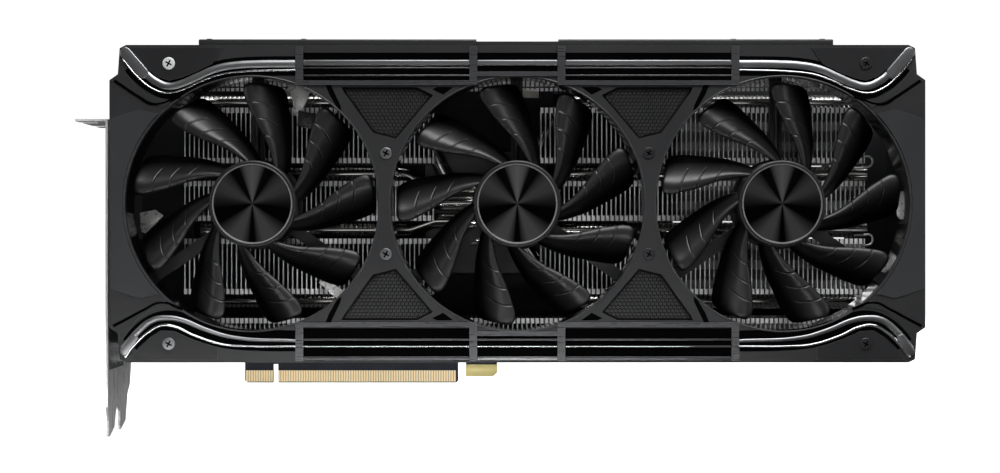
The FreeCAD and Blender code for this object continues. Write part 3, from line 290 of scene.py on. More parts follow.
class Bench:
    """A material's node bench: adds nodes and joins them by name."""

    def __init__(self, name):
        self.material = bpy.data.materials.new(name)
        self.material.use_nodes = True
        self.tree = self.material.node_tree
        self.shader = self.tree.nodes["Principled BSDF"]
        self.place = self.add("TexCoord").outputs["Object"]

    def feed(self, socket, value):
        """Joins an input to another node's result, or sets it to a number, vector or colour."""
        if isinstance(value, bpy.types.NodeSocket):
            self.tree.links.new(value, socket)
        else:
            socket.default_value = (*value, 1) if socket.type == "RGBA" else value

    def add(self, kind, inputs=(), **fields):
        """A node with its fields set and its inputs fed, by name or by number."""
        node = self.tree.nodes.new("ShaderNode" + kind)
        for key, value in fields.items():
            setattr(node, key, value)
        for key, value in dict(inputs).items():
            self.feed(node.inputs[key], value)
        return node

    def shade(self, socket, value):
        """Feeds one of the shader's own inputs."""
        self.feed(self.shader.inputs[socket], value)

    def split(self):
        """The place along X, Y and Z, as three sockets."""
        return self.add("SeparateXYZ", {0: self.place}).outputs[:3]

    def relief(self, height, strength, depth):
        """Bumps the surface by the height, with the depth in millimetres."""
        bump = self.add("Bump", {"Strength": strength, "Distance": depth * MM,
                                           "Height": height})
        self.shade("Normal", bump.outputs["Normal"])

    def roughness(self, grain, low, high):
        self.shade("Roughness", self.between(grain, *GRAIN_RANGE, low, high))

    def cloud(self, scale, detail, first, second):
        """Two near hues in soft patches."""
        patches = self.between(self.noise(scale, detail), *CLOUD_RANGE, 0, 1)
        return self.blend(patches, first, second)

    def ripple(self, along, length):
        """A wave from -1 to 1, with its length in millimetres."""
        return self.sum("SINE", self.sum("MULTIPLY", along, 2 * pi / (length * MM)))

    def noise(self, scale, detail, stretch=(1, 1, 1)):
        turn = self.add("Mapping", {"Vector": self.place, "Scale": stretch})
        cloud = self.add("TexNoise", {"Vector": turn.outputs["Vector"],
                                                "Scale": scale, "Detail": detail})
        return cloud.outputs["Fac"]

    def sum(self, operation, *values):
        """The result of one arithmetic operation on sockets or numbers."""
        return self.add("Math", enumerate(values), operation=operation).outputs[0]

    def between(self, value, *limits):
        """Maps a value from its first two limits to the last two, and no further."""
        keys = ("Value", "From Min", "From Max", "To Min", "To Max")
        return self.add("MapRange", zip(keys, (value, *limits))).outputs["Result"]

    def blend(self, factor, first, second):
        """A mix of two colours, whose sockets go by number because their names repeat."""
        inputs = {0: factor, 6: first, 7: second}
        return self.add("Mix", inputs, data_type="RGBA").outputs[2]

    def sheen_and_wear_mask(self, radius):
        """1 along outside edges, 0 on open faces: the mask of the painted edge highlight and wear.
        """
        soft = self.add("Bevel", {"Radius": radius * MM}, samples=4)
        flat = self.add("NewGeometry")
        normals = {0: soft.outputs["Normal"], 1: flat.outputs["Normal"]}
        dot = self.add("VectorMath", normals, operation="DOT_PRODUCT")
        return self.between(dot.outputs["Value"], 0.995, 0.86, 0, 1)

    def around(self):
        """Distance and angle about the nearest fan's axis, and the place along Y."""
        pitch = (AXES[2][0] - AXES[1][0]) * MM
        x, y, z = self.split()
        across = self.sum("SUBTRACT", x, AXES[1][0] * MM)
        across = self.sum("WRAP", across, pitch / 2, -pitch / 2)
        up = self.sum("SUBTRACT", z, AXES[1][1] * MM)
        far = self.sum("SQRT", self.sum("ADD", self.sum("MULTIPLY", across, across),
                                        self.sum("MULTIPLY", up, up)))
        return far, self.sum("ARCTAN2", up, across), y


def moulded(name, colour, tint, rough, metallic=0.0, grain=2600, bump=0.12, spread=0.06,
            stretch=(1, 1, 1), sheen_and_wear=None, coat=0.0, specular=0.5):
    """The usual finish: clouded colour, grain in gloss and relief, and outside edges lightened in
    patches by painted edge highlight and wear.
    """
    bench = Bench(name)
    hue = bench.cloud(28, 4, colour, tint)
    # Outside edges lighter in patches: painted edge highlight, and wear.
    if sheen_and_wear:
        patches = bench.between(bench.noise(420, 3), 0.35, 0.62, 0.15, 0.8)
        hue = bench.blend(bench.sum("MULTIPLY", bench.sheen_and_wear_mask(SHEEN_AND_WEAR_RADIUS), patches), hue, sheen_and_wear)
    bench.shade("Base Color", hue)
    fine = bench.noise(grain, 2, stretch)
    bench.roughness(fine, max(SMOOTHEST, rough - spread), rough + spread)
    bench.relief(fine, bump, 0.05)
    bench.shade("Metallic", metallic)
    bench.shade("Specular IOR Level", specular)
    bench.shade("Coat Weight", coat)
    bench.shade("Coat Roughness", 0.12)
    return bench.material


def spun_disc_with_painted_reflections():
    """Metal spun about the hub: painted reflections in light and dark wedges that meet in the
    middle, over fine rings.
    """
    bench = Bench("spun hub metal with painted reflections")
    far, turn, _ = bench.around()
    ramp = bench.add("ValToRGB")
    marks = ramp.color_ramp.elements
    while len(marks) < len(PAINTED_REFLECTION_WEDGES):
        marks.new(0.5)
    for mark, painted_wedge in zip(marks, PAINTED_REFLECTION_WEDGES):
        mark.position = painted_wedge[0] / 360
    for mark, painted_wedge in zip(marks, PAINTED_REFLECTION_WEDGES):
        mark.color = (*(painted_wedge[1] * share for share in PAINTED_REFLECTION_TINT), 1)
    # Painted reflections: the wedges' lightness goes by the angle about the hub.
    bench.feed(ramp.inputs["Fac"], bench.between(turn, -pi, pi, 0, 1))
    rings = bench.between(bench.ripple(far, RING_PITCH), -1, 1, 0, 0.16)
    bench.shade("Base Color", bench.blend(rings, ramp.outputs["Color"], (0.004, 0.004, 0.004)))
    bench.roughness(bench.noise(160, 3), 0.29, 0.33)
    bench.shade("Metallic", 1.0)
    return bench.material


def blade_finish():
    """Dark glossy blade plastic with shallow lines scored across the front of each blade; painted
    shade darkens the lines, and darkens and dulls the part that falls back towards the trailing
    edge.
    """
    bench = Bench("blade plastic")
    far, _, depth = bench.around()
    slope = bench.sum("ADD", far, bench.sum("MULTIPLY", depth, SCORE_LEAN))
    lines = 0.0
    for radius in SCORE_RADII:
        off = bench.sum("SUBTRACT", slope, (radius - SCORE_LEAN * SCORE_DEPTH) * MM)
        line = bench.between(bench.sum("ABSOLUTE", off), 0.1 * MM, 0.45 * MM, 1, 0)
        lines = bench.sum("MAXIMUM", lines, line)
    front = bench.between(depth, -45.2 * MM, -45.9 * MM, 0, 1)
    lines = bench.sum("MULTIPLY", lines, front)
    # Painted shade on the part of the blade that falls back towards the trailing edge.
    painted_trailing_shade = bench.between(depth, -46.6 * MM, -43 * MM, 0, 1)
    hue = bench.cloud(40, 3, (0.0022, 0.0022, 0.0023), (0.0035, 0.0035, 0.0037))
    # Painted shade darkens the scored lines and the falling-back part; the latter also loses its
    # gloss below.
    shade = bench.sum("MAXIMUM", lines, painted_trailing_shade)
    bench.shade("Base Color", bench.blend(shade, hue, (0.0007, 0.0007, 0.0007)))
    bench.shade("Specular IOR Level", bench.between(painted_trailing_shade, 0, 1, 0.5, 0.04))
    fine = bench.noise(3200, 2)
    bench.roughness(fine, 0.38, 0.46)
    bench.relief(bench.sum("SUBTRACT", bench.sum("MULTIPLY", fine, 0.03), lines), 0.7, 0.25)
    return bench.material


def fin_finish():
    """Bright aluminium fins, with painted shadow in the slit between one tab and the next and on
    the faces behind the front edges, lit in rows by painted light where the backplate's vents let
    it through.
    """
    bench = Bench("fin aluminium")
    x, y, z = bench.split()
    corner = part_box("fin_block_left")[0]
    along = bench.sum("DIVIDE", bench.sum("SUBTRACT", x, corner.x), FIN_PITCH * MM)
    step = bench.sum("FRACT", along)
    # Painted shadow in the slit between one tab and the next.
    slit = bench.sum("MULTIPLY", bench.between(step, 0.6, 0.68, 0, 1),
                     bench.between(step, 0.92, 0.99, 1, 0))
    hue = bench.cloud(60, 4, (0.8, 0.805, 0.815), (0.92, 0.925, 0.93))
    # Painted shade on the fins' faces behind their front edges.
    inner = bench.between(y, corner.y + 0.6 * MM, corner.y + 1.4 * MM, 0, 1)
    painted_vent_light = bench.between(x, 150 * MM, 158 * MM, 0, 1)
    rows = bench.between(bench.ripple(z, VENT_PITCH), -0.2, 0.5, 0.15, 1)
    # Painted light from the backplate's vents, in rows over that painted shade.
    shade = bench.blend(bench.sum("MULTIPLY", painted_vent_light, rows), SHADOW, (0.85, 0.85, 0.86))
    bench.shade("Base Color", bench.blend(slit, bench.blend(inner, hue, shade), SHADOW))
    drawn = bench.noise(1800, 2, (1, 1, 0.06))
    bench.roughness(drawn, 0.2, 0.36)
    bench.relief(drawn, 0.08, 0.05)
    bench.shade("Metallic", 0.25)
    return bench.material


def board_finish():
    """Dark navy solder mask with faint copper tracks under it."""
    bench = Bench("board solder mask")
    x, _, z = bench.split()
    slanted = bench.sum("ADD", x, bench.sum("MULTIPLY", z, 0.5))
    lanes = bench.sum("ABSOLUTE", bench.sum("SINE", bench.sum("MULTIPLY", slanted, TRACK_TURN)))
    track = bench.sum("MULTIPLY", bench.between(lanes, 0.55, 0.75, 0, 1),
                      bench.between(bench.noise(45, 2), 0.48, 0.56, 0, 1))
    bench.shade("Base Color", bench.blend(track, (0.003, 0.0055, 0.012), (0.009, 0.015, 0.028)))
    bench.roughness(bench.noise(1500, 3), 0.28, 0.42)
    bench.relief(track, 0.3, 0.03)
    bench.shade("Specular IOR Level", 0.12)
    return bench.material


SATIN_BLACK = moulded("shroud plastic", (0.016, 0.0164, 0.0175), (0.021, 0.0214, 0.0226), 0.42,
                      sheen_and_wear=(0.09, 0.09, 0.095), coat=0.05, specular=0.3)
# Near-black laid as painted shade in grooves, slots, creases, screw recesses and seats, and behind
# vents.
PAINTED_SHADE_BLACK = moulded("painted shade black", (0.0006, 0.0006, 0.0006), (0.0012, 0.0012, 0.0013), 0.8,
                     bump=0.05, specular=0.01)
GLOSS_BLACK = moulded("glossy duct wall", (0.001, 0.001, 0.0011), (0.002, 0.002, 0.0021), 0.14,
                      bump=0.02, spread=0.03)
CORNER_GREY = moulded("corner plate grey", (0.013, 0.0133, 0.0142), (0.018, 0.0184, 0.0196), 0.36,
                      grain=1800, sheen_and_wear=(0.12, 0.12, 0.125), specular=0.25)
# The shroud's plastic painted lighter, as lit, for the end facets.
LIT_FACET_PLASTIC = moulded("shroud plastic painted lit", (0.026, 0.027, 0.029), (0.034, 0.035, 0.037), 0.34, grain=2200,
                     sheen_and_wear=(0.12, 0.12, 0.125), specular=0.3)
GUNMETAL = moulded("gunmetal bar", (0.055, 0.056, 0.06), (0.075, 0.076, 0.08), 0.3, metallic=0.6,
                   grain=1500, stretch=(0.05, 1, 1), sheen_and_wear=(0.3, 0.3, 0.31))
SATIN_METAL = moulded("satin trim", (0.2, 0.202, 0.208), (0.23, 0.232, 0.238), 0.36, metallic=1.0,
                      grain=1600, bump=0.02, spread=0.02)
POLISHED = moulded("polished line", (0.5, 0.505, 0.52), (0.6, 0.605, 0.62), 0.14, metallic=1.0,
                   bump=0.03, spread=0.03, sheen_and_wear=(0.95, 0.95, 0.96))
MESH_BLACK = moulded("mesh insert", (0.002, 0.002, 0.002), (0.003, 0.003, 0.003), 0.6,
                     specular=0.15)
MESH_CELL = moulded("mesh cell", (0.017, 0.017, 0.0175), (0.025, 0.025, 0.026), 0.45,
                    sheen_and_wear=(0.05, 0.05, 0.052), specular=0.35)
BLADE = blade_finish()
SPUN_WITH_PAINTED_REFLECTIONS = spun_disc_with_painted_reflections()
FIN = fin_finish()
BOARD = board_finish()
DIFFUSER = moulded("milky diffuser", (0.3, 0.31, 0.325), (0.36, 0.37, 0.385), 0.35, coat=0.3,
                   bump=0.04)
POLISHED_RIM = moulded("hub rim line", (0.34, 0.34, 0.35), (0.4, 0.4, 0.41), 0.22, metallic=1.0,
                       bump=0.03)
NICKEL = moulded("nickel", (0.66, 0.65, 0.63), (0.78, 0.77, 0.75), 0.16, metallic=1.0, grain=900,
                 stretch=(0.08, 1, 1), sheen_and_wear=(0.9, 0.88, 0.86))
# Nickel painted dark as shade, for the cold plate.
SHADE_PAINTED_NICKEL = moulded("nickel painted in shade", (0.05, 0.05, 0.051), (0.075, 0.075, 0.077), 0.35,
                      metallic=1.0, grain=900, stretch=(0.08, 1, 1))
# Screw steel painted lit, for the top-left screw.
LIT_SCREW_STEEL = moulded("screw steel painted lit", (0.72, 0.72, 0.73), (0.84, 0.84, 0.85), 0.3,
                       metallic=0.35, sheen_and_wear=(0.9, 0.9, 0.9))
LUG_METAL = moulded("lug plating", (0.6, 0.6, 0.59), (0.74, 0.74, 0.73), 0.3, metallic=0.5,
                    grain=700, sheen_and_wear=(0.9, 0.9, 0.9))
DARK_STEEL = moulded("blackened screw steel", (0.03, 0.03, 0.032), (0.05, 0.05, 0.053), 0.34,
                     metallic=0.8, sheen_and_wear=(0.25, 0.25, 0.26))
GOLD = moulded("gold plating", (0.93, 0.7, 0.36), (0.955, 0.76, 0.44), 0.36, metallic=0.2,
               grain=2400, sheen_and_wear=(1.0, 0.9, 0.68))
HOOK_GOLD = moulded("hook plating", (1.0, 0.84, 0.32), (1.0, 0.88, 0.38), 0.4, metallic=0.1,
                    grain=2400, sheen_and_wear=(1.0, 0.9, 0.6))
BRACKET = moulded("bracket nickel", (0.8, 0.8, 0.805), (0.88, 0.88, 0.885), 0.3, metallic=0.3,
                  grain=1400, stretch=(1, 1, 0.06), sheen_and_wear=(0.86, 0.86, 0.86))

FINISHES = {
    "shroud_plastic": SATIN_BLACK, "bright_trim": SATIN_METAL, "rail_grey": GUNMETAL,
    "corner_grey": CORNER_GREY, "mesh_metal": MESH_BLACK, "board_navy": BOARD,
    "blade_plastic": BLADE, "hub_metal": SPUN_WITH_PAINTED_REFLECTIONS, "fins": FIN, "nickel": NICKEL, "gold": GOLD,
    "bracket_nickel": BRACKET, "screw_steel": DARK_STEEL,
    "light_bar": moulded("light bar housing", (0.014, 0.0142, 0.015), (0.02, 0.0202, 0.021), 0.36,
                         bump=0.04, sheen_and_wear=(0.1, 0.1, 0.104)),
    "magnet": moulded("rotor magnet", (0.05, 0.05, 0.052), (0.08, 0.08, 0.082), 0.45, metallic=0.6),
    "steel": moulded("ground steel", (0.5, 0.5, 0.51), (0.6, 0.6, 0.61), 0.2, metallic=1.0,
                     stretch=(1, 0.06, 1)),
    "bearing_bronze": moulded("sintered bronze", (0.35, 0.2, 0.09), (0.45, 0.27, 0.13), 0.4,
                              metallic=1.0),
    "winding": moulded("enamelled copper", (0.5, 0.17, 0.06), (0.62, 0.25, 0.1), 0.3, metallic=0.9,
                       grain=1500, stretch=(1, 0.1, 1), bump=0.5),
    "frame_plastic": moulded("fan frame plastic", (0.004, 0.004, 0.0043), (0.007, 0.007, 0.0075),
                             0.5, sheen_and_wear=(0.03, 0.03, 0.031)),
    "lead_sleeve": moulded("fan lead sleeve", (0.01, 0.01, 0.01), (0.018, 0.018, 0.018), 0.5,
                           bump=0.3),
    "header_plastic": moulded("header nylon", (0.5, 0.48, 0.43), (0.6, 0.58, 0.52), 0.45,
                              sheen_and_wear=(0.7, 0.7, 0.66)),
    "cast_frame": moulded("cooler base metal", (0.004, 0.004, 0.0042), (0.007, 0.007, 0.0073), 0.5,
                          grain=1200, bump=0.35, sheen_and_wear=(0.12, 0.12, 0.125), specular=0.2),
    "package_green": moulded("package laminate", (0.02, 0.07, 0.035), (0.03, 0.095, 0.05), 0.4),
    "silicon": moulded("silicon die", (0.1, 0.105, 0.12), (0.14, 0.145, 0.16), 0.12, metallic=0.7,
                       bump=0.02),
    "chip_epoxy": moulded("chip epoxy", (0.012, 0.012, 0.013), (0.022, 0.022, 0.024), 0.5,
                          sheen_and_wear=(0.08, 0.08, 0.08)),
    "pad_silicone": moulded("thermal pad", (0.32, 0.36, 0.42), (0.42, 0.46, 0.52), 0.7, bump=0.4),
    "ferrite": moulded("ferrite", (0.08, 0.08, 0.082), (0.12, 0.12, 0.122), 0.55,
                       sheen_and_wear=(0.24, 0.24, 0.24)),
    "can_metal": moulded("capacitor can", (0.55, 0.55, 0.56), (0.66, 0.66, 0.67), 0.28,
                         metallic=1.0, sheen_and_wear=(0.85, 0.85, 0.85)),
    "socket_nylon": moulded("power socket nylon", (0.012, 0.012, 0.013), (0.02, 0.02, 0.021), 0.4,
                            sheen_and_wear=(0.08, 0.08, 0.083)),
    "selector_housing": moulded("selector housing", (0.015, 0.015, 0.016), (0.025, 0.025, 0.026),
                                0.42, sheen_and_wear=(0.1, 0.1, 0.1)),
    "selector_slider": moulded("selector slider", (0.6, 0.58, 0.54), (0.7, 0.68, 0.64), 0.4,
                               sheen_and_wear=(0.8, 0.8, 0.76)),
    "backplate_metal": moulded("backplate enamel", (0.022, 0.023, 0.025), (0.032, 0.033, 0.036),
                               0.36, metallic=0.4, grain=1500, stretch=(0.05, 1, 1), bump=0.2,
                               sheen_and_wear=(0.3, 0.3, 0.31)),
    "spring_steel": moulded("spring steel", (0.42, 0.42, 0.43), (0.52, 0.52, 0.53), 0.28,
                            metallic=1.0, stretch=(0.1, 1, 1), sheen_and_wear=(0.8, 0.8, 0.8)),
    "socket_shell": moulded("blackened socket shell", (0.03, 0.03, 0.031), (0.045, 0.045, 0.047),
                            0.34, metallic=0.9, sheen_and_wear=(0.3, 0.3, 0.3)),
}


def finish_cad_nodes():
    """Every carried-over CAD node takes the finish of its own slot, except the cold plate, whose
    nickel is painted dark as shade.
    """
    for name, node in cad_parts.items():
        slots = [item.name.split(".")[0] for item in node.data.materials] or ["shroud_plastic"]
        node.data.materials.clear()
        node.data.materials.append(SHADE_PAINTED_NICKEL if name == "cold_plate" else FINISHES[slots[0]])


# ---- fans ----
# Along the blade from the hub: how far out, and where its trailing and leading edges lie.
BLADE_STATIONS = ((12, -11.3, -7.2), (16, -11.8, -6.1), (20, -12.0, -4.8), (25, -11.9, -2.3),
                  (31, -10.9, 1.9), (37, -10.1, 5.1), (41.5, -8.9, 7.2), (44.2, -7.6, 6.4),
                  (45, -5, 4.6))
# From the leading edge to the trailing edge: how far the blade has fallen back from its front.
BLADE_FALL = (0.9, 0.1, 0.6, 2.3, 4.7, 7.0, 9.0)
BLADE_FRONT, BLADE_THICKNESS = -49, 1.2
BLADES = 9
PHASES = (6, 20, 6)  # how far each rotor has turned, in degrees
HUB_RADIUS, HUB_DEPTH = 16.2, (-50.5, -39)
CAP_RADIUS, CAP_DEPTH = 14.85, (-50.9, -50.5)


def make_blade():
    """One sickle-shaped blade beside the origin, drawn out from its root section by section."""
    out, trail, lead = BLADE_STATIONS[0]
    steps = len(BLADE_FALL) - 1
    release()
    bpy.ops.mesh.primitive_grid_add(x_subdivisions=steps, y_subdivisions=1, size=1,
                                    rotation=(0, pi / 2, 0),
                                    location=(out * MM, BLADE_FRONT * MM, (trail + lead) / 2 * MM))
    bpy.context.object.scale = ((lead - trail) * MM, BLADE_THICKNESS * MM, 1)
    blade = added("blade")
    edit(blade)
    for index, fall in enumerate(BLADE_FALL):
        at = lead - index * (lead - trail) / steps
        pick("VERT", lambda p: abs(p.z - at) < 0.05)
        bpy.ops.transform.translate(value=(0, fall * MM, 0))
    pick("FACE", lambda p: True)
    for further, low, high in BLADE_STATIONS[1:]:
        pull(further - out, 0, ((low + high) - (trail + lead)) / 2)
        bpy.ops.transform.resize(value=(1, 1, (high - low) / (lead - trail)),
                                 center_override=(further * MM, 0, (low + high) / 2 * MM))
        out, trail, lead = further, low, high
    bpy.ops.transform.resize(value=(1, 0.75, 1), center_override=(out * MM, -45 * MM, 0))
    outward(blade)
    finish_with(blade, "SUBSURF", levels=2, render_levels=2)
    return smooth(blade, 60)


def make_hub():
    """The cup that carries the blades, beside the origin."""
    front, back = HUB_DEPTH
    hub = rod("hub", HUB_RADIUS, 0, 0, HUB_DEPTH, 72)
    edit(hub)
    pick("FACE", lambda p: p.y < front + 0.1)
    inset(1.25)
    pull(0, 0.3, 0)
    pick("FACE", lambda p: p.y > back - 0.1)
    inset(1.2)
    pull(0, -10.1, 0)
    pick("EDGE", lambda p: p.y < front + 0.1 and hypot(p.x, p.z) > HUB_RADIUS - 0.3)
    bpy.ops.mesh.bevel(offset=0.7 * MM, segments=3)
    release()
    return smooth(hub, 40)


def make_cap():
    """The spun metal disc with its turned-up rim, beside the origin."""
    cap = rod("cap", CAP_RADIUS, 0, 0, CAP_DEPTH, 96)
    edit(cap)
    pick("FACE", lambda p: p.y < CAP_DEPTH[0] + 0.05)
    inset(0.5)
    inset(0.15)
    bpy.ops.transform.translate(value=(0, 0.22 * MM, 0))
    inset(6)
    bpy.ops.transform.translate(value=(0, 0.05 * MM, 0))
    bpy.ops.mesh.poke(offset=0.04 * MM)
    outward(cap)
    two_finishes(cap, SPUN_WITH_PAINTED_REFLECTIONS, POLISHED_RIM, lambda p: hypot(p.x, p.z) > CAP_RADIUS - 0.65)
    return smooth(cap, 30)


def make_fans():
    blade, hub, cap = make_blade(), make_hub(), make_cap()
    for fan, phase in zip(FANS, PHASES):
        x, z = AXES[fan]
        pieces = [copy_of(hub, "hub_part", (x, 0, z))]
        for k in range(BLADES):
            pieces.append(copy_of(blade, "blade_part", (x, 0, z), phase + 360 / BLADES * k))
        rotor = dress(joined(f"fan_wheel_{fan}", pieces), BLADE, f"rotor_{fan}")
        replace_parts(rotor, f"fan_rotor_{fan}")
        face = copy_of(cap, f"hub_cap_{fan}", (x, 0, z))
        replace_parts(dress(face, body=f"rotor_{fan}"), f"hub_disc_{fan}")
    for part in (blade, hub, cap):
        bpy.data.objects.remove(part)


# ---- shroud face ----
# Along each bright line and groove: distances from the shroud's end and from its top or bottom.
UPPER_WAVE = ((5.2, 1.6), (7.5, 4.6), (12.6, 9.9), (17.5, 13.8), (22, 15.3), (26.4, 14.4), (32, 12),
              (39, 9), (46, 7.6), (55, 7.1), (68.6, 7))
UPPER_LINE = ((5.0, 5.4), (10, 11.4), (15.6, 16), (21, 17.8), (27, 16.6), (34, 13.4), (41, 11),
              (50, 9.9), (68.6, 9.3))
LOWER_WAVE = ((5.2, 5), (11, 11.8), (16, 15.6), (21.5, 16.4), (27, 15.5), (35.5, 12.1), (45.3, 9.3),
              (68.6, 8))
LOWER_LINE = ((6, 2), (7.4, 4.2), (9.8, 7), (14, 10.9), (19, 13.6), (24, 13.2), (31.6, 9.8),
              (42, 6.6), (50, 6), (68.6, 5.9))
UPPER_BED = ((8.4, 7.2), (11.4, 10.6), (16, 14.2), (21.5, 16.4), (27, 15.2), (33, 12.4), (40, 9.6),
             (48, 8.3), (57, 7.9), (68.6, 7.8))
LOWER_BED = ((8.2, 6.2), (11, 9.8), (15, 13.2), (20, 15.2), (25, 15), (33, 12), (43, 9.2),
             (55, 8.2), (68.6, 8))


def proud(height, sunk=0.2):
    """From a height in front of the shroud's face to a depth behind it."""
    return (FACE - height, FACE + sunk)


def across_face(x, z, right, low):
    """A place given by its distances from the shroud's end and from its top or bottom."""
    return (RIGHT - x if right else LEFT + x, BOTTOM + z if low else TOP - z)


def ribbon(name, points, width, depth, material, thin=1.0):
    """A rounded strip along a smooth line across the face, from depth to depth.

    It narrows towards its last point, to the share thin of its width.
    """
    front, back = depth
    curve = bpy.data.curves.new(name, "CURVE")
    curve.dimensions = "3D"
    curve.resolution_u = 8
    line = curve.splines.new("BEZIER")
    last = len(points) - 1
    line.bezier_points.add(last)
    for order, (knot, (x, z)) in enumerate(zip(line.bezier_points, points)):
        knot.co = (x * MM, 0, z * MM)
        knot.radius = 1 + (thin - 1) * order / last
        knot.handle_left_type = knot.handle_right_type = "AUTO"
    curve.bevel_depth = width / 2 * MM
    curve.bevel_resolution = 3
    curve.use_fill_caps = True
    strip = bpy.data.objects.new(name, curve)
    show(strip)
    hold(strip)
    bpy.ops.object.convert(target="MESH")
    strip = bpy.context.object
    strip.name = name
    strip.data.transform(Matrix.Translation((0, (front + back) / 2 * MM, 0))
                         @ Matrix.Diagonal((1, (back - front) / width, 1, 1)))
    outward(strip)
    strip.data.materials.append(material)
    return smooth(strip, 50)


def tip_outline(start, stop, half):
    """A capsule's outline about the line from start to stop, half as wide as it says."""
    lean = atan2(stop[1] - start[1], stop[0] - start[0])
    return [(end[0] + half * cos(lean + turn), end[1] + half * sin(lean + turn))
            for end, first in ((start, 0.5), (stop, -0.5))
            for turn in (pi * (first + k / 12) for k in range(13))]


UPPER_LINES = (UPPER_WAVE, UPPER_LINE, UPPER_BED, tip_outline((6, 3), (12.4, 10.4), 2.2))
LOWER_LINES = (LOWER_WAVE, LOWER_LINE, LOWER_BED, tip_outline((5.6, 4.1), (9, 8.9), 1.7))


def make_waves():
    """At each corner a bright strip with a rounded tip, a thin line, and the groove under them,
    whose shade is painted as a near-black ribbon.
    """
    for low, right in ((False, False), (False, True), (True, False), (True, True)):
        corner = f"{'bottom' if low else 'top'}_{'right' if right else 'left'}"
        wave, line, bed, tip = ([across_face(x, z, right, low) for x, z in outline]
                                for outline in (LOWER_LINES if low else UPPER_LINES))
        strips = [ribbon("strip", wave, 2.8, proud(0.8, 0.6), SATIN_METAL, 0.4 if low else 1),
                  ribbon("line", line, 1.6 if low else 0.9, proud(0.7, 0.5), POLISHED,
                         0.5 if low else 1)]
        cap = plate("tip", tip, *proud(0.8))
        cap.data.materials.append(SATIN_METAL)
        strips.append(rounded(cap, 0.6, 3))
        piece = dress(joined(f"wave_{corner}", strips))
        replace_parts(piece, f"wave_trim_{corner}")
        width = 8.2 if low else 7.6
        # Painted shade: a near-black ribbon just in front of the face, along the groove.
        groove = ribbon(f"wave_groove_shade_{corner}", bed, width, proud(0.12, 0.1), PAINTED_SHADE_BLACK)
        dress(groove)


# Between the dividers: from where to where along the face's middle, and whether it is the centre.
BAND_SPANS = ((-78.9, -17.7, False), (-14.8, 14.8, True), (17.7, 78.9, False))


def make_bands():
    """The grooves and fine bars between the dividers, above and below the fans; the grooves' shade
    is painted as near-black sheets.
    """
    ribs, beds, lines, bright = [], [], [], []
    for left, right, centre in BAND_SPANS:
        x = (CENTRE[0] + left, CENTRE[0] + right)
        beds.append(block("bed", x, proud(0.1), (117.9 if centre else 115.9, 126.2)))
        ribs.append(rounded(block("rib", x, proud(0.8), (121.4, 123.5)), 0.35, 3))
        if not centre:
            for z in (117.8, 120.6):
                lines.append(rounded(block("line", x, proud(0.55), (z - 0.25, z + 0.25)), 0.15))
        beds.append(block("bed", x, proud(0.1), (14.2, 23.2 if centre else 24.6)))
        lines.append(rounded(block("line", x, proud(0.6), (20.0, 20.7)), 0.2))
        bright.append(rounded(block("bright", x, proud(0.75), (17.5, 18.3)), 0.3))
        lowest = rounded(block("rib", x, proud(0.7), (12.6, 14.2)), 0.35)
        (ribs if centre else lines).append(lowest)
    dress(joined("band_ribs", ribs), SATIN_METAL)
    dress(joined("band_bright_lines", bright), POLISHED)
    dress(joined("band_fine_lines", lines), GUNMETAL)
    dress(joined("band_groove_shades", beds), PAINTED_SHADE_BLACK)


def arc(fan, radius, first, last, count):
    """Points on a circle about a fan's axis, from one angle to another in degrees."""
    x, z = AXES[fan]
    turns = [radians(first + (last - first) * k / count) for k in range(count + 1)]
    return [(x + radius * cos(turn), z + radius * sin(turn)) for turn in turns]


def far_end(pieces):
    """Copies of the pieces, mirrored to the shroud's other end."""
    return [copy_of(piece, "far", (2 * CENTRE[0], 0, 0), flip=(-1, 1, 1)) for piece in pieces]


def make_facets():
    """The slanted faces at both ends of the shroud, between the outline and the outer fans; the
    facets are painted lighter as lit, and the creases' shadow lines are painted near-black.
    """
    upper = [(-54.1, 116.0), (-51.1, 118.0), (-50.4, 121.4), (-44.6, 113.6), (-39.5, 109.9),
             (-34.5, 108.6), (-31.8, 108.4), (-34.6, 105.9)]
    side = [(-54.1, 101.7), (-47.6, 104.0), (-43.0, 105.2), (-37.4, 103.7),
            *arc(1, 47.9, 136, 224, 24),
            (-37.4, 37.3), (-43.0, 35.8), (-47.6, 37.0), (-54.1, 39.3)]
    step, facet = plate("end_step", upper, *proud(0.15)), plate("end_facet", side, *proud(0.15))
    for piece, slope in ((step, 0.012), (facet, 0.03)):
        for vertex in piece.data.vertices:
            if vertex.co.y < FACE * MM:
                vertex.co.y -= slope * (vertex.co.x - LEFT * MM)
    steps = [step, copy_of(step, "end_step_low", (0, 0, 2 * CENTRE[1]), flip=(1, 1, -1))]
    dress(joined("end_steps", steps + far_end(steps)), SATIN_BLACK)
    facets = [facet] + far_end([facet])
    # The facets are the shroud's black plastic painted lighter, as lit.
    dress(joined("end_facets", facets), LIT_FACET_PLASTIC)
    high = [(-28.1, 110), (-38.7, 107.3), (-44.2, 110.3), (-49.6, 113.9), (-52.6, 115.9)]
    low = [(-27.5, 31.6), (-35.5, 34.0), (-41.6, 31.4), (-46.5, 28.8), (-53, 25.4)]
    # Painted shadow lines along the creases: near-black ribbons.
    painted_crease_shadows = [ribbon("painted_crease_shadow", line, 1.1, proud(0.5, 0.3), PAINTED_SHADE_BLACK) for line in (high, low)]
    dress(joined("end_painted_crease_shadows", painted_crease_shadows + far_end(painted_crease_shadows)))


LIP_RADIUS = 47.15
LINING_RADIUS, LINING_DEPTH = 46.75, 14
# Outlines of the slots, whose shade is painted near-black, from the face's centre.
SLOT_OUTLINES = (((23.6, 43.0), (29.6, 43.0), (31.4, 42.2), (27.4, 40.2)),
                 ((68.8, 43.8), (70.8, 43.8), (69.4, 40.4), (66.4, 35.2), (64.9, 34.2),
                  (65.2, 36.2)))


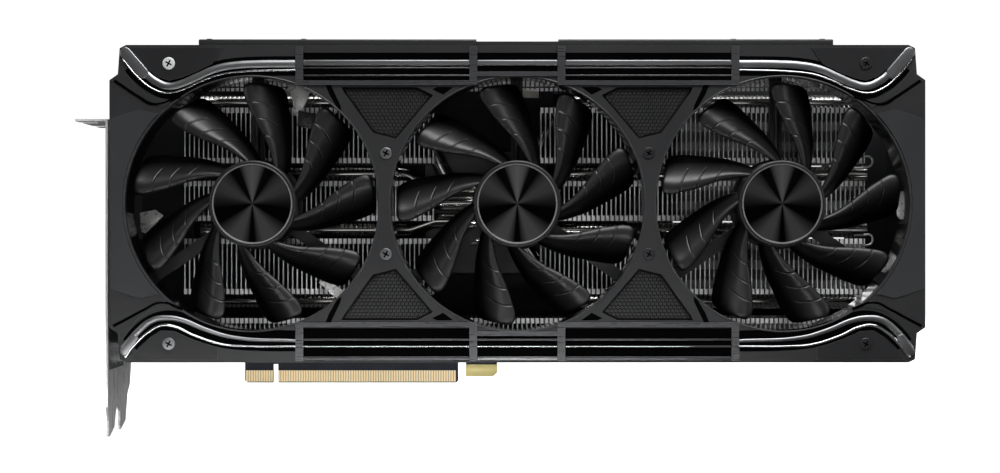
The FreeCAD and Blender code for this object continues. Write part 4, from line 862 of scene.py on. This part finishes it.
def make_opening_lips():
    """A thin rolled lip round each fan opening."""
    lips = []
    for x, z in AXES.values():
        release()
        bpy.ops.mesh.primitive_torus_add(location=(x * MM, (FACE + 0.1) * MM, z * MM),
                                         rotation=UPRIGHT,
                                         major_radius=LIP_RADIUS * MM, minor_radius=0.35 * MM,
                                         major_segments=120, minor_segments=8)
        lips.append(smooth(added("lip")))
    dress(joined("opening_lips", lips), SATIN_BLACK)


def make_opening_linings():
    """The glossy wall inside each opening, open at the far end where the shroud is cut away."""
    linings = []
    for fan, (x, z) in AXES.items():
        release()
        bpy.ops.mesh.primitive_cylinder_add(vertices=120, radius=LINING_RADIUS * MM,
                                            depth=LINING_DEPTH * MM, end_fill_type="NOTHING",
                                            location=(x * MM, -43.3 * MM, z * MM),
                                            rotation=UPRIGHT)
        lining = added("lining")
        if fan == FANS[-1]:
            edit(lining)
            pick("FACE", lambda p: p.x > x + 45.5 and -6.8 < p.z - z < 6.8)
            bpy.ops.mesh.delete(type="FACE")
            release()
        linings.append(smooth(lining))
    dress(joined("opening_linings", linings), GLOSS_BLACK)


def make_face_slots():
    """The slots beside the mesh inserts, painted near-black as shade."""
    slots = []
    for outline in SLOT_OUTLINES:
        slots += four_ways(plate("slot", outline, *proud(0.06)))
    dress(joined("face_slot_shades", slots), PAINTED_SHADE_BLACK)


STUD_PITCH = 1.5
ROW_RISE = 0.866  # of the pitch, from one row of cells to the next
# A mesh window's outline, from the face's centre.
MESH_CORNERS = ((65, 43.1), (37, 43.1), (31, 40.1), (44.8, 23.9), (53.4, 26.1), (64.2, 41.3))


def make_mesh_studs():
    """Small hexagonal cells that stand on the mesh inserts, trimmed to the windows' edges."""
    face = FACE + 1.8
    base = rod("cell", 0.66, 32, 24, (face - 0.35, face + 0.1), 6)
    edit(base)
    pick("FACE", lambda p: p.y < face - 0.3)
    inset(0.2)
    pull(0, 0.25, 0)
    release()
    rows = []
    for shift in (0, 1):
        row = copy_of(base, "row", (shift * STUD_PITCH / 2, 0, shift * STUD_PITCH * ROW_RISE))
        repeated(row, 23, (STUD_PITCH, 0, 0))
        rows.append(repeated(row, 8, (0, 0, STUD_PITCH * 2 * ROW_RISE)))
    bpy.data.objects.remove(base)
    field = joined("field", rows)
    edit(field)
    corners = [Vector((x, 0, z)) for x, z in MESH_CORNERS]
    inside = sum(corners, Vector()) / len(corners)
    for first, second in zip(corners, corners[1:] + corners[:1]):
        normal = (second - first).cross(Vector((0, 1, 0))).normalized()
        if normal.dot(inside - first) > 0:
            normal = -normal
        bpy.ops.mesh.select_all(action="SELECT")
        bpy.ops.mesh.bisect(plane_co=(first - normal * 0.9) * MM, plane_no=normal,
                            clear_outer=True, use_fill=True)
    release()
    dress(joined("mesh_studs", four_ways(field)), MESH_CELL)


def make_screw(name, radius, x, z, front, material):
    """A pan head with a cross recess, over a seat; the recess and the seat are painted near-black
    as shade.
    """
    head = rod(name, radius, x, z, (front, front + 0.75), 32)
    edit(head)
    pick("EDGE", lambda p: p.y < front + 0.05 and hypot(p.x - x, p.z - z) > radius * 0.9)
    bpy.ops.mesh.bevel(offset=0.28 * MM, segments=3)
    release()
    for turn in (28, 118):
        arm = block("arm", (-1.3, 1.3), (front - 1, front + 0.45), (-0.3, 0.3))
        arm.data.transform(Matrix.Translation(Vector((x, 0, z)) * MM)
                           @ Matrix.Rotation(radians(turn), 4, "Y"))
        carve(head, arm)
    head.data.materials.clear()
    # Painted shade in the cross recess.
    two_finishes(head, material, PAINTED_SHADE_BLACK, lambda p: front + 0.1 < p.y < front + 0.6
                 and hypot(p.x - x, p.z - z) < 1.4)
    smooth(head, 30)
    # Painted shade: a near-black ring under the head.
    seat_shade = rod("seat_shade", radius + 0.6, x, z, (front + 0.62, front + 0.95), 40)
    seat_shade.data.materials.append(PAINTED_SHADE_BLACK)
    return joined(name, [head, seat_shade])


def make_face_screws():
    """Four screws near the face's corners and four between the fans."""
    heads = []
    for i in (-1, 1):
        for j in (-1, 1):
            # The same screws painted by how the light falls: a painted highlight on the top-left
            # one, painted lighter satin on the other left ones, dark steel on the right.
            outer = DARK_STEEL if i > 0 else LIT_SCREW_STEEL if j > 0 else SATIN_METAL
            inner = DARK_STEEL if i > 0 else SATIN_METAL
            for radius, x, z, height, steel in ((2.3, 128.5, 51.7, 0.9, outer),
                                                (2.2, 48.5, 18.6, 0.5, inner)):
                heads.append(make_screw("screw", radius, CENTRE[0] + i * x, CENTRE[1] + j * z,
                                        FACE - height, steel))
    piece = dress(joined("face_screws", heads))
    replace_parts(piece, "shroud_screws")


# ---- cooler, board and bracket ----
# The depth of each lug's front, and the lug's outline.
LUGS = (
    (-33.2, ((8.6, 116.4), (17.6, 114.6), (16.4, 110.5), (13.6, 104.6), (11.4, 104.4),
             (10.8, 110))),
    (-33.2, ((-47.4, 67.4), (-41.5, 68.6), (-38.4, 66.4), (-44.6, 59.4), (-47, 60.2))),
    (-33.2, ((20.5, 41), (24, 41.6), (32, 36.6), (31, 34), (26.4, 35.6))),
    (-38.6, ((238.9, 75.6), (242.9, 75.4), (243.2, 65.2), (240.4, 64.8), (239.2, 66.4))),
)
LIGHT_BAR_STEP = (80.9, 111.2)


def make_cooler_brackets():
    """Bright folded sheet-metal lugs that hold the shroud to the cooler, seen past the blades."""
    lugs = [rounded(plate("lug", outline, front, front + 1), 0.3) for front, outline in LUGS]
    dress(joined("cooler_lugs", lugs), LUG_METAL)
    pad = plate("pad", [(13, 106.4), (21.4, 104.4), (20, 98.6), (12.4, 100.4)], -34, -33)
    screw = make_screw("pad_screw", 1.7, 16.8, 102.4, -34.5, GUNMETAL)
    dress(joined("cooler_lug_pads", [rounded(pad, 0.3), screw]), GUNMETAL)


def make_fin_hooks():
    """Two bright wire hooks that close the fins' far end."""
    hooks = []
    for z in (55.2, 85.1):
        points = [(227.8, z + 0.2), (230.6, z), (231.9, z + 1.6), (231.2, z + 3.6), (228.6, z + 4)]
        hooks.append(ribbon("hook", points, 0.8, (-30.4, -29.6), LUG_METAL))
    dress(joined("fin_hooks", hooks))


def make_screens():
    """A grey gauze behind the bracket's grid and a strip of painted shade behind the lowest vents.
    """
    gauze = block("bracket_gauze", (-58.15, -57.95), (-38, -13.5), (8, 25))
    dress(gauze, GUNMETAL)
    strip = block("vent_shade_strip", (153.5, 243), (1.2, 2.2), (26.2, 32.4))
    dress(rounded(strip, 0.2), PAINTED_SHADE_BLACK)


def make_fin_tabs():
    """Two rows of small folded tabs along the top of the fins, at the fins' own pitch."""
    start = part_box("fin_block_left")[0].x / MM
    rows = []
    for z in ((113.9, 115.1), (115.7, 116.7)):
        tab = block("tab", (start, start + 1.15), (-30.4, -30.1), z)
        rows.append(repeated(tab, 145, (FIN_PITCH, 0, 0)))
    dress(joined("fin_tabs", rows), LUG_METAL)


def make_contacts():
    """The connector's gold fingers at one-millimetre pitch on both sides of the board."""
    low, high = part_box("edge_contacts")
    fingers = []
    for y in ((-0.9, -0.79), (0.79, 0.9)):
        for first, last in ((-11.5, -1.5), (1.5, 72)):
            finger = block("finger", (first - 0.42, first + 0.42), y, (low.z / MM, high.z / MM))
            fingers.append(repeated(finger, int(last - first) + 1, (1, 0, 0)))
    piece = dress(joined("connector_fingers", fingers), GOLD)
    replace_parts(piece, "edge_contacts")
    hook = [(75.9, 7.3), (75.9, 2.5), (86.9, 2.5), (88.5, 4.1), (88.5, 7.3)]
    plating = rounded(plate("hook_plating", hook, -0.88, 0.88), 0.08)
    dress(plating, HOOK_GOLD)


def make_rear_relief():
    """Pressed ribs across the backplate and a raised frame round its window."""
    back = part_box("backplate")[1].y / MM
    y = (back - 0.2, back + 0.55)
    ribs = []
    for places, lean, top in (((-40, -31, -22), 30, 118), ((118, 127, 136), 11, 98)):
        for x in places:
            outline = [(x, 20), (x + 3, 20), (x + lean + 3, top), (x + lean, top)]
            ribs.append(plate("rib", outline, y[1], y[0]))
    for x, z in (((152, 240), (118.6, 120.6)), ((152, 240), (18.4, 20.4)),
                 ((53, 55), (37, 99)), ((113, 115), (37, 99)),
                 ((55, 113), (37, 39)), ((55, 113), (97, 99))):
        ribs.append(block("rib", x, y, z))
    for rib in ribs:
        rounded(rib, 0.3)
    relief = joined("backplate_relief", ribs)
    dress(relief, FINISHES["backplate_metal"])


def make_power_pins():
    """The steel pins inside both power sockets."""
    pins = []
    for node in ("power_socket_1", "power_socket_2"):
        low, high = corners_of(node)
        for column in range(4):
            x = low.x + (high.x - low.x) * (column + 0.5) / 4
            for share in (0.7, 0.3):
                y = low.y + (high.y - low.y) * share
                pin = block("pin", (x - 0.45, x + 0.45), (y - 0.45, y + 0.45),
                            (low.z + 1.5, high.z - 2.5))
                pins.append(rounded(pin, 0.2))
    dress(joined("power_pins", pins), FINISHES["steel"])


def make_light_bar():
    """The light bar along the card's upper edge: a long housing, its window and its bands."""
    low, high = corners_of("top_light_bar")
    near, far = low.x + 60, high.x - 42
    housing = block("light_bar", (low.x, high.x), (low.y, high.y), (low.z, high.z - 0.25))
    rounded(housing, 0.5, 3)
    recess = block("recess", (near, far), (low.y + 8, low.y + 14), (high.z - 0.9, high.z + 1))
    carve(housing, recess)
    housing.data.materials.append(FINISHES["light_bar"])
    window = block("light_window", (near + 0.2, far - 0.2), (low.y + 8.2, low.y + 13.8),
                   (high.z - 1, high.z - 0.4))
    rounded(window, 0.15)
    window.data.materials.append(DIFFUSER)
    y, z = (low.y - 1, high.y + 1), (high.z - 1.1, high.z + 1)
    for part in (housing, window):
        carve(part, block("step", LIGHT_BAR_STEP, y, z))
    bar = joined("light_bar_housing", [housing, window])
    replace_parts(dress(bar), "top_light_bar")
    bands = []
    for x in (low.x + 3, low.x + 38, high.x - 38, high.x - 5):
        band = block("band", (x, x + 2), (low.y + 0.2, high.y - 2), (low.z + 0.2, high.z))
        bands.append(rounded(band, 0.2))
    dress(joined("light_bar_caps", bands), GUNMETAL)


# ---- studio ----
# Sizes and places here are in metres.
MIDDLE_X = 0.09
FLOOR_WIDTH, FLOOR_DEPTH = 9, 5
WALL_HEIGHT, SWEEP_RADIUS = 4, 1.2
FLOOR_GLOW, WORLD_GLOW = 0.93, 0.08
LENS, SENSOR_WIDTH = 60.2, 36  # in millimetres
CAMERA_PLACE = (0.0896, -0.669, 0.0584)
# Each lamp's name, its place, what it is aimed at, how wide and tall it is, and its power in watts.
LAMPS = (
    ("key softbox", (MIDDLE_X + 0.16, -0.5, 0.72), (MIDDLE_X, -0.05, 0.07), 0.7, 0.3, 8.0),
    ("overhead softbox", (MIDDLE_X - 0.1, -0.12, 0.8), (MIDDLE_X, -0.04, 0.06), 0.7, 0.22, 2.4),
    ("left softbox", (-0.75, -0.55, 0.16), (0, -0.04, 0.07), 0.12, 0.5, 1.1),
    ("right softbox", (0.95, -0.6, 0.2), (0.18, -0.04, 0.07), 0.14, 0.5, 1.1),
    ("rear softbox", (0.25, 0.8, 0.4), (0.15, 0, 0.06), 0.6, 0.4, 2.6),
    ("connector strip light", (0.05, -0.16, -0.012), (0.05, 0, 0.004), 0.28, 0.008, 0.13),
    ("low fill", (MIDDLE_X, -1.1, 0), (MIDDLE_X, -0.03, 0.06), 0.8, 0.2, 0.35),
)


def make_stage():
    """A pale floor that sweeps up behind the card."""
    release()
    bpy.ops.mesh.primitive_plane_add(size=1, location=(MIDDLE_X, 0.1, cad_box[0][2]))
    bpy.context.object.scale = (FLOOR_WIDTH, FLOOR_DEPTH, 1)
    floor = added("floor")
    edit(floor)
    pick("EDGE", lambda p: p.y > 2000)
    pull(0, 0, WALL_HEIGHT / MM)
    pick("EDGE", lambda p: p.y > 2000 and abs(p.z) < 100)
    bpy.ops.mesh.bevel(offset=SWEEP_RADIUS, segments=16)
    release()
    smooth(floor, 60)
    bench = Bench("pale floor")
    patches = bench.between(bench.noise(2, 3), 0.4, 0.6, 0, 1)
    bench.shade("Base Color", bench.blend(patches, (0.86, 0.86, 0.86), (0.88, 0.88, 0.88)))
    bench.shade("Roughness", 0.9)
    bench.shade("Specular IOR Level", 0.1)
    bench.shade("Emission Color", (1, 1, 1))
    bench.shade("Emission Strength", FLOOR_GLOW)
    floor.data.materials.append(bench.material)
    floor.visible_diffuse = floor.visible_glossy = False


def lamp(name, place, aim, wide, tall, power):
    """A soft rectangular light, its sizes in metres and its power in watts."""
    light = bpy.data.lights.new(name, "AREA")
    light.shape = "RECTANGLE"
    light.size, light.size_y = wide, tall
    light.energy = power
    item = bpy.data.objects.new(name, light)
    item.location = place
    item.rotation_euler = (Vector(aim) - Vector(place)).to_track_quat("-Z", "Y").to_euler()
    item.visible_camera = False
    show(item)


def make_studio():
    """The lights, and a dim world that only the camera sees as white."""
    for facts in LAMPS:
        lamp(*facts)
    world = bpy.data.worlds.new("studio")
    world.use_nodes = True
    tree = world.node_tree
    background = tree.nodes["Background"]
    background.inputs["Color"].default_value = (1, 1, 1, 1)
    seen = tree.nodes.new("ShaderNodeLightPath")
    strength = tree.nodes.new("ShaderNodeMapRange")
    strength.inputs["To Min"].default_value = WORLD_GLOW
    tree.links.new(seen.outputs["Is Camera Ray"], strength.inputs["Value"])
    tree.links.new(strength.outputs["Result"], background.inputs["Strength"])
    bpy.context.scene.world = world
    bpy.context.scene.view_settings.view_transform = "Standard"


def make_camera():
    camera = bpy.data.objects.new("camera", bpy.data.cameras.new("camera"))
    camera.data.lens = LENS
    camera.data.sensor_width = SENSOR_WIDTH
    camera.location = CAMERA_PLACE
    camera.rotation_euler = UPRIGHT
    show(camera)
    bpy.context.scene.camera = camera


make_camera()
finish_cad_nodes()
make_fans()
make_waves()
make_bands()
make_facets()
make_opening_lips()
make_opening_linings()
make_face_slots()
make_mesh_studs()
make_face_screws()
make_cooler_brackets()
make_contacts()
make_fin_tabs()
make_fin_hooks()
make_screens()
make_rear_relief()
make_power_pins()
make_light_bar()
make_stage()
make_studio()
release()
